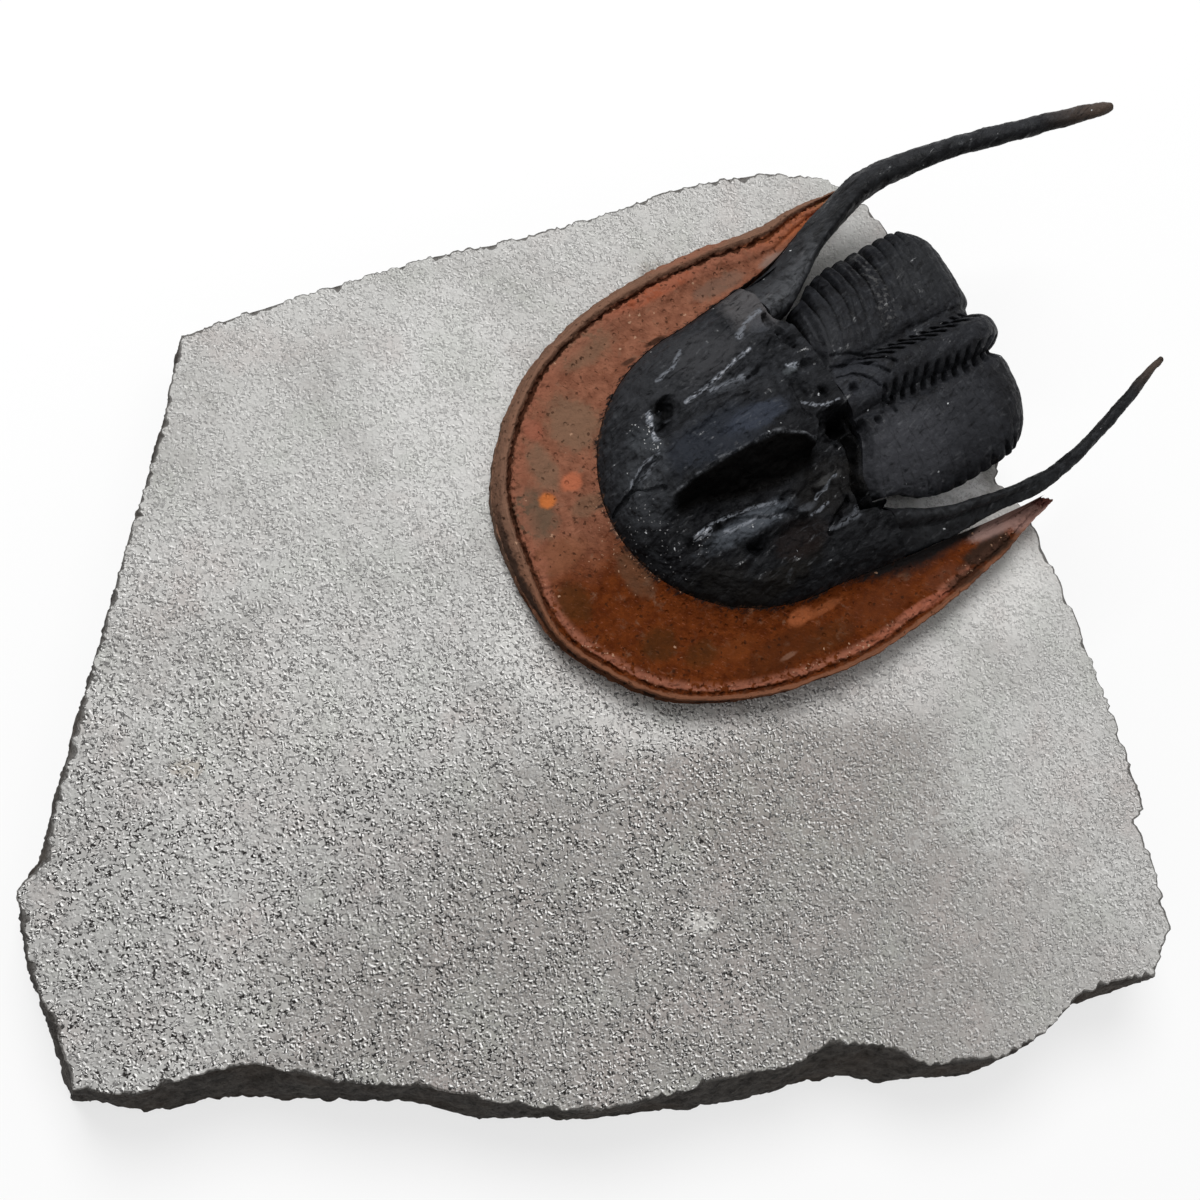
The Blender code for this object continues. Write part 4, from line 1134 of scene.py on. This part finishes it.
# Stations from the head's corner to the tip: x, inner y, outer y, lowest and
# highest point. y counts away from the midline.
horns = {
    "left": [
        (-31.12, 9.3, 14.0, 0.5, 5.9), (-33.5, 10.6, 14.3, 0.7, 5.5), (-36.0, 11.8, 14.6, 1.3, 5.4),
        (-39.0, 12.7, 14.7, 2.2, 5.7), (-42.0, 13.4, 15.0, 3.4, 6.1), (-45.0, 13.7, 15.3, 4.6, 6.4),
        (-48.0, 13.6, 14.9, 5.6, 6.9), (-51.5, 12.8, 13.95, 6.1, 7.3), (-55.0, 11.8, 12.9, 6.8, 7.9),
        (-58.3, 10.7, 11.6, 7.5, 8.4), (-60.4, 10.3, 10.8, 8.1, 8.6),
    ],
    "right": [
        (-31.12, 9.6, 13.9, 0.5, 6.2), (-33.5, 10.0, 14.2, 0.7, 5.9), (-36.0, 11.4, 15.0, 1.3, 6.2),
        (-39.0, 13.4, 16.2, 2.3, 6.8), (-42.0, 14.6, 17.2, 3.7, 7.8), (-45.0, 15.3, 17.8, 5.4, 8.8),
        (-48.5, 15.1, 17.3, 7.2, 9.6), (-53.0, 14.4, 16.2, 8.7, 10.6), (-58.0, 13.0, 14.9, 9.8, 11.5),
        (-63.5, 11.6, 13.2, 11.0, 12.5), (-66.4, 11.0, 12.3, 11.6, 12.7), (-67.5, 11.0, 11.7, 12.0, 12.6),
    ],
    # sections as shares across (inner to outer) and up, near the head and beyond
    "broad": {
        "left": [
            (0.1, 0.15), (0.0, 0.6), (0.12, 0.92), (0.28, 1.0), (0.42, 0.9), (0.5, 0.72),
            (0.6, 0.7), (0.8, 0.6), (1.0, 0.45), (0.93, 0.33), (0.45, 0.0),
        ],
        "right": [
            (0.05, 0.2), (0.0, 0.6), (0.08, 0.9), (0.22, 1.0), (0.4, 0.93), (0.58, 0.8),
            (0.72, 0.7), (0.88, 0.56), (1.0, 0.38), (0.88, 0.06), (0.45, 0.0),
        ],
    },
    "slim": [
        (0.1, 0.2), (0.0, 0.52), (0.08, 0.8), (0.25, 0.97), (0.42, 1.0), (0.6, 0.95),
        (0.76, 0.85), (0.9, 0.68), (1.0, 0.42), (0.85, 0.08), (0.45, 0.0),
    ],
    "slimFrom": (-41.0, -48.0),
    "columns": 420,
    "rows": 66,
}


def buildHorn(side, sign, material):
    mesh, unit = unitGrid(horns["columns"], horns["rows"])
    sections = []
    for section in (horns["broad"][side], horns["slim"]):
        loop = [section[-1], *section, section[0], section[1]]
        sections.append(curveAt(loop, 1.0 + (unit[:, 1] % (1.0 - 1e-6)) * len(section)))
    path = curveAt(horns[side], unit[:, 0] * (len(horns[side]) - 1))
    x, inner, outer, low, high = path.T
    slim = ramp(x, *horns["slimFrom"])[:, None]
    across, up = (sections[0] * (1.0 - slim) + sections[1] * slim).T
    movePoints(mesh, x, sign * (inner + (outer - inner) * across), low + (high - low) * up)
    keepMask(mesh, "across", across)
    keepMask(mesh, "up", up)
    closeTube(mesh)
    points = pointsOf(mesh)
    long = points * np.array([0.5, 1.0, 1.0])
    lift = 0.06 * ripple(points, 1.6, 31) + 0.05 * crumble(points, 0.6, 32)
    lift += 0.16 * (0.35 - np.abs(ripple(long, 1.8, 34)))
    lift -= 0.09 * hill(pits(points, 1.1, 33) / 0.2)
    swell(mesh, lift)
    finishPiece(mesh, f"{side}Horn", material, f"{side}_horn")


def hornMaterial():
    material, nodes, shader, place, flat, x, y = shellMaterial("hornShell", 0.55, 0.05)
    tone = nodes.noise(flat, 1.2, 6.0, 0.65, 0.5)
    colour = nodes.mix(nodes.span(tone, 0.3, 0.7), (0.006, 0.006, 0.0065), (0.020, 0.021, 0.023))
    # painted light: the outer facet is painted paler than the inner one, as its lit side, most of all at the
    # right horn's root
    outer = nodes.times(nodes.span(nodes.mask("across"), 0.3, 0.7), nodes.span(y, 0.0, -2.0, 0.2, 1.0))
    colour = nodes.cover(colour, (0.028, 0.029, 0.032), outer, 0.5)
    # painted shade: the inner facet is painted darker from the bend on
    inner = nodes.times(nodes.span(nodes.mask("across"), 0.35, 0.05), nodes.span(x, -38.0, -43.0))
    colour = nodes.cover(colour, (0.004, 0.004, 0.0045), inner, 0.7)
    # painted highlight: the tops of the roots, most of all the right one, are painted paler
    root = nodes.times(nodes.span(x, -41.0, -36.0), nodes.span(y, 0.0, -2.0, 0.1, 0.8))
    top = nodes.times(nodes.span(nodes.mask("up"), 0.6, 0.95), nodes.span(tone, 0.3, 0.6))
    colour = nodes.cover(colour, (0.070, 0.073, 0.079), top, root)
    joined = nodes.times(nodes.span(x, -34.5, -31.6), nodes.span(y, 0.0, 2.0, 0.0, 0.8))
    colour = nodes.mix(joined, colour, (0.007, 0.007, 0.008))
    tip = nodes.times(nodes.span(x, -60.0, -67.0), nodes.span(y, 0.0, -2.0))
    tip = nodes.greater(tip, nodes.times(nodes.span(x, -56.0, -60.0), nodes.span(y, 0.0, 2.0)))
    colour = nodes.cover(colour, (0.095, 0.068, 0.052), tip, 0.6)
    shellSurface(nodes, shader, place, colour, 0.0003)
    return material


# The segments are bands of one curled surface. Distances run along it from the
# head; its furrow line is level at first and then curls down to the slab.
thorax = {
    "segments": 15,
    "pitch": 1.35,
    "front": -31.5,
    "curlCentre": (-44.0, 4.4),
    "curlRadius": 3.7,
    "gap": 0.012,
    "thickness": 1.0,
    # beside the middle lobe, once across: y, then height above the furrow line at
    # the front, and on the curled part's right and left
    "across": [
        (0.0, 0.25, 0.3, 0.3), (1.2, 0.25, 0.3, 0.3), (2.0, 0.1, 0.2, 0.2), (2.5, 0.0, 0.1, 0.1),
        (3.3, 0.4, 0.5, 0.4), (5.6, 0.25, 0.6, 0.3), (7.6, -0.5, 0.6, 0.0), (9.3, -1.7, 0.4, -0.8),
        (10.5, -2.9, -0.1, -1.7), (11.2, -3.9, -0.8, -2.6),
    ],
    "curled": (6.0, 13.5),
    "rightWiden": 1.08,
    # shares of the full width, one for each segment and the tail's end
    "rightWidths": [
        0.83, 0.93, 0.97, 1.0, 1.0, 1.0, 0.99, 0.975, 0.955, 0.93, 0.90, 0.87, 0.84, 0.80, 0.74, 0.6,
    ],
    "leftWidths": [
        0.76, 0.86, 0.93, 0.97, 0.99, 1.0, 1.0, 1.0, 0.99, 0.98, 0.96, 0.92, 0.87, 0.81, 0.74, 0.6,
    ],
    # the middle lobe: distance, centre y, half width, height
    "lobe": [
        (0.0, -0.45, 2.3, 1.0), (1.5, -0.45, 2.2, 1.3), (3.0, -0.45, 2.1, 1.5), (5.0, -0.4, 2.05, 1.7),
        (8.0, -0.15, 1.95, 1.8), (10.5, 0.2, 1.9, 1.8), (14.0, 0.3, 1.85, 1.8), (17.0, 0.25, 1.75, 1.75),
        (19.5, 0.2, 1.7, 1.6), (21.6, 0.2, 1.6, 1.3),
    ],
    "rearShift": (0.4, 0.5),  # how much further back the curled pleurae stand, right and left
    "sweep": 0.36,            # how far the right side leans back for each mm outward
    # the oblique slots beside the lobe: spacing along the body, then for the right and
    # the left how far they lean forward for each mm outward, and where they start and end
    "slotPitch": 1.08,
    "slotLean": (1.3, 0.45),
    "slotStart": (0.95, 0.9),
    "slotEnd": (2.3, 2.9),
    "columns": 300,
    "bands": 18,
    "under": 4,
    "tailLength": 1.1,
    # holes and little ridges: x, y, length, width, turn in degrees, height
    "forms": [
        (-32.6, -0.5, 0.5, 0.6, 0, -0.9), (-31.7, 2.6, 0.5, 0.7, 0, -1.2), (-33.3, 2.9, 0.45, 0.5, 0, -0.9),
        (-32.2, -7.2, 0.35, 3.0, 0, -0.35), (-36.2, -8.6, 0.4, 2.2, -12, 0.25),
        (-42.3, 10.9, 0.35, 0.9, 25, -0.8), (-43.9, 10.7, 0.35, 0.9, 20, -0.8),
        (-45.1, 10.3, 0.35, 0.9, 15, -0.8),
    ],
    # fine curved grooves and ridges behind the head: reach, height, points
    "lines": [
        (0.22, -0.35, [(-32.6, -4.0), (-34.6, -3.3), (-36.1, -2.1), (-37.0, -0.6)]),
        (0.20, -0.30, [(-32.2, -3.0), (-33.8, -2.5), (-35.2, -1.4), (-36.0, 0.0)]),
        (0.20, -0.30, [(-31.9, -1.9), (-33.2, -1.5), (-34.2, -0.6), (-34.7, 0.6)]),
        (0.22, -0.45, [(-34.9, 1.4), (-35.2, 2.2), (-35.2, 3.0)]),
    ],
}


def thoraxLine(distance):  # x, height and tilt along the furrow line
    level = thorax["front"] - thorax["curlCentre"][0]
    radius = thorax["curlRadius"]
    turn = np.clip((distance - level) / radius, 0.0, math.pi / 2.0)
    x = thorax["front"] - np.minimum(distance, level) - radius * np.sin(turn)
    down = np.maximum(0.0, distance - level - radius * math.pi / 2.0)
    return x, thorax["curlCentre"][1] + radius * np.cos(turn) - down, turn


def thoraxSurface(distance, turn):
    # y, lift and rearward shift of the top; turn runs from -1 at the right tip to 1 at the left
    side = np.sign(turn)
    share, right = np.abs(turn), side < 0
    rows = np.array(thorax["across"])
    spans = curveAt(rows, share * (len(rows) - 1))
    curl = ramp(distance, *thorax["curled"])
    level = spans[:, 1] * (1.0 - curl) + np.where(right, spans[:, 2], spans[:, 3]) * curl
    number = distance / thorax["pitch"] - 0.5
    counts = np.arange(thorax["segments"] + 1)
    widths = np.where(right, np.interp(number, counts, thorax["rightWidths"]) * thorax["rightWiden"],
                      np.interp(number, counts, thorax["leftWidths"]))
    band = np.abs(distance / thorax["pitch"] % 1.0 - 0.5) * 2.0  # 0 in a segment's middle, 1 at its ends
    tips = ramp(spans[:, 0], 7.5, 11.2)
    early = 1.0 - ramp(distance, 7.0, 10.0)
    widths = widths * (1.0 - np.where(right, 0.016, 0.006 + 0.02 * curl) * tips * band ** 3)
    y = spans[:, 0] * widths * side
    lobeRows = np.array(thorax["lobe"])
    centre, half, height = [np.interp(distance, lobeRows[:, 0], lobeRows[:, i]) for i in (1, 2, 3)]
    away = np.clip(np.abs(y - centre) / half, 0.0, 1.0)
    lift = level * np.where(level < 0.0, widths ** 2, 1.0) + (height - 0.25) * (1.0 - away ** 2.4) ** 0.75

    # oblique slots beside the lobe, furrows between and on the segments
    outward = np.abs(y - centre)
    lean, start, end = [np.where(right, *thorax[name]) for name in ("slotLean", "slotStart", "slotEnd")]
    slant = (distance + lean * (outward - 1.2)) / thorax["slotPitch"] + 0.15
    slot = hill((slant % 1.0 - 0.5) / 0.31) * ramp(outward, start, start + 0.3)
    lift -= 0.95 * slot * ramp(outward, end, end - 0.5) * ramp(distance, 2.2, 4.2)
    ribs = ramp(outward, 2.4, 3.6) * np.where(right, 0.25 + 0.6 * early * ramp(outward, 3.0, 9.0), 0.12)
    lift += 0.11 * ribs * (1.0 - band ** 4)
    middle = distance / thorax["pitch"] % 1.0
    lift -= 0.12 * hill((middle - 0.45) / 0.2) * ribs * ramp(share, 0.95, 0.8)
    deep = 0.75 * tips * early * np.where(right, 1.0, 0.1) + 0.08 * ribs
    lift -= deep * hill((1.0 - band) / 0.5)
    shift = np.where(right, *thorax["rearShift"])
    shift = shift * ramp(distance, 12.5, 16.5) * ramp(outward, 1.9, 3.0)
    shift += right * thorax["sweep"] * np.maximum(0.0, outward - 3.2) * ramp(distance, 17.0, 7.0)
    shift -= headNotch(y) * ramp(distance, 6.0, 0.0)
    lift -= 0.9 * ramp(distance, 1.0, 0.0) * ramp(outward, 2.4, 3.6)  # rolls off beside the head
    return y, lift, shift


def buildBand(name, start, length, widths, material, node):
    # a closed band of the surface, with its end walls and underside
    columns, bands, under = thorax["columns"], thorax["bands"], thorax["under"]
    rows = bands + under + 4
    mesh, unit = unitGrid(columns, rows)
    row = np.rint(unit[:, 1] * rows).astype(int) % rows
    turn = 2.0 * unit[:, 0] - 1.0
    turn = np.sign(turn) * np.abs(turn) ** 1.05
    corners = [0, bands, bands + 2, bands + 2 + under, rows]
    band = np.interp(row, corners, [0.0, 1.0, 1.0, 0.0, 0.0])
    depth = np.interp(row, corners, [0.0, 0.0, 1.0, 1.0, 0.0])
    distance = start + length * band
    y, lift, shift = thoraxSurface(distance, turn)
    y = y * np.interp(band, *widths)
    x, z, tilt = thoraxLine(distance)
    points = levelPoints(distance, y)
    bentX, bentY = x + 0.15 * crumble(points, 1.2, 44), y + 0.15 * crumble(points, 1.2, 45)
    lift += sculpt(bentX, bentY, thorax) * (tilt < 1.0)
    lift += 0.05 * ripple(points, 1.3, 41) + 0.06 * crumble(points, 0.7, 42)
    lift -= 0.12 * hill(pits(points, 1.4, 43) / 0.22)
    lift = lift * (1.0 - depth) + (np.minimum(lift, 0.3) - thorax["thickness"]) * depth
    y = y * (1.0 - 0.02 * depth)
    movePoints(mesh, x - np.sin(tilt) * lift - shift, y, z + np.cos(tilt) * lift)
    keepMask(mesh, "distance", distance)
    closeTube(mesh)
    finishPiece(mesh, name, material, node)


def buildThorax(material):
    pitch, gap, count = thorax["pitch"], thorax["gap"], thorax["segments"]
    for number in range(count):
        start, name, even = pitch * number + gap / 2, f"{number + 1:02d}", ([0.0, 1.0], [1.0, 1.0])
        buildBand(f"thoraxSegment{name}", start, pitch - gap, even, material, f"thorax_segment_{name}")
    tail = ([0.0, 0.5, 0.8, 1.0], [0.95, 0.85, 0.65, 0.4])
    buildBand("tailPlate", pitch * count + gap / 2, thorax["tailLength"], tail, material, "tail_plate")


def segmentMaterial():
    material, nodes, shader, place, flat, _, y = shellMaterial("segmentShell", 0.5, 0.05)
    distance = nodes.mask("distance")
    tone = nodes.noise(flat, 1.1, 6.0, 0.65, 0.6)
    colour = nodes.mix(nodes.span(tone, 0.3, 0.7), (0.007, 0.007, 0.008), (0.018, 0.019, 0.022))
    # painted sheen and tone, in patches
    colour = paintPatches(nodes, flat, tornEdge(nodes, flat), colour, shell["thoraxSheenAndTone"])
    streaks = nodes.noise(nodes.stretch(flat, (0.28, 2.2, 1.0), 0.2), 1.0, 4.0, 0.6)
    colour = nodes.tint(colour, (0.034, 0.036, 0.041), streaks, 0.55, 0.75, 0.4)
    colour = nodes.tint(colour, (0.004, 0.004, 0.004), streaks, 0.45, 0.25, 0.6)
    # painted shade: dark lines in the furrows between the right pleurae near the head
    seam = nodes.math("FRACT", nodes.times(distance, 1.0 / thorax["pitch"]))
    seam = nodes.math("ABSOLUTE", nodes.minus(seam, 0.5))
    seam = nodes.times(nodes.span(seam, 0.36, 0.47), nodes.span(y, -4.0, -9.0))
    seam = nodes.times(seam, nodes.span(distance, 10.5, 8.0))
    colour = nodes.cover(colour, (0.003, 0.003, 0.003), seam, 0.8)
    # pale flecks along the ribs of the right pleurae, a few segments behind the head
    rib = nodes.times(nodes.band(distance, 6.3, 6.9, 7.9, 8.4), nodes.span(y, -3.0, -4.5))
    paleRibFlecks = nodes.times(rib, nodes.span(nodes.noise(flat, 2.4, 4.0, 0.65), 0.52, 0.6))
    colour = nodes.cover(colour, (0.10, 0.10, 0.10), paleRibFlecks, 0.5)
    shellSurface(nodes, shader, place, colour, 0.0003)
    return material


view = {
    "target": (0.0, 0.0, 11.0),  # mm
    "distance": 146.94,
    "elevation": 73.0,
    "azimuth": 50.0,   # of the line of sight, from +X
    "roll": 40.0,
    "lens": 51.0,      # on a 36 mm sensor
}


def placeCamera():
    camera = bpy.data.cameras.new("camera")
    camera.lens = view["lens"]
    camera.sensor_width = 36.0
    camera.clip_start = 0.01
    camera.clip_end = 10.0
    item = newItem("camera", camera)
    rise, turn = math.radians(view["elevation"]), math.radians(view["azimuth"])
    sight = Vector((math.cos(rise) * math.cos(turn), math.cos(rise) * math.sin(turn), -math.sin(rise)))
    facing = sight.to_track_quat("-Z", "Y").to_matrix().to_4x4()
    rolled = facing @ Matrix.Rotation(math.radians(view["roll"]), 4, "Z")
    item.matrix_world = Matrix.Translation((Vector(view["target"]) - sight * view["distance"]) * mm) @ rolled
    bpy.context.scene.camera = item


stage = {
    "floorSize": 3.0,
    "floorLevel": -0.00005,
    "floorShadow": 0.3,   # share of the floor's own shading that the camera sees
    "worldLight": 0.27,
    # name: place in metres, size in metres, watts
    "lamps": {
        "farWindow": ((-0.08, 0.27, 0.50), 0.30, 2.8),
        "overhead": ((0.05, 0.05, 0.60), 0.50, 0.7),
    },
}


def buildStage():
    mesh = bmesh.new()
    bmesh.ops.create_grid(mesh, x_segments=1, y_segments=1, size=stage["floorSize"] / 2)
    data = bpy.data.meshes.new("floor")
    mesh.to_mesh(data)
    mesh.free()
    floor = newItem("floor", data)
    floor.location.z = stage["floorLevel"]
    material, nodes, shader = newMaterial("paleFloor", 0.9, 0.2)
    shader.inputs["Base Color"].default_value = (0.85, 0.85, 0.85, 1.0)
    glow = nodes.add("ShaderNodeEmission")
    rays = nodes.add("ShaderNodeLightPath")
    seen = nodes.times(rays.outputs["Is Camera Ray"], 1.0 - stage["floorShadow"])
    blend = nodes.add("ShaderNodeMixShader")
    nodes.join(seen, blend.inputs[0])
    nodes.join(shader.outputs[0], blend.inputs[1])
    nodes.join(glow.outputs[0], blend.inputs[2])
    nodes.join(blend.outputs[0], nodes.tree.nodes["Material Output"].inputs["Surface"])
    data.materials.append(material)

    world = bpy.data.worlds.new("studio")
    world.use_nodes = True
    bpy.context.scene.world = world
    nodes = Nodes(world.node_tree)
    background = world.node_tree.nodes["Background"]
    background.inputs["Color"].default_value = (1.0, 1.0, 1.0, 1.0)
    rays = nodes.add("ShaderNodeLightPath")
    direct = nodes.greater(rays.outputs["Is Camera Ray"], rays.outputs["Is Glossy Ray"])
    direct = nodes.greater(direct, rays.outputs["Is Transmission Ray"])
    strength = nodes.add("ShaderNodeMapRange")
    nodes.join(direct, strength.inputs["Value"])
    strength.inputs["To Min"].default_value = stage["worldLight"]
    strength.inputs["To Max"].default_value = 1.0
    nodes.join(strength.outputs["Result"], background.inputs["Strength"])

    for name, (place, size, power) in stage["lamps"].items():
        lamp = bpy.data.lights.new(name, "AREA")
        lamp.shape = "DISK"
        lamp.size = size
        lamp.energy = power
        item = newItem(name, lamp)
        item.location = place
        item.rotation_euler = (-Vector(place)).to_track_quat("-Z", "Y").to_euler()


placeCamera()
buildStage()
bpy.context.scene.view_settings.view_transform = "Standard"
print("camera and stage are set")
buildSlab(limestoneMaterial())
buildBrim(brimMaterial(), brimEdgeMaterial())
buildHead(headMaterial())
hornShell = hornMaterial()
buildHorn("left", 1.0, hornShell)
buildHorn("right", -1.0, hornShell)
buildThorax(segmentMaterial())
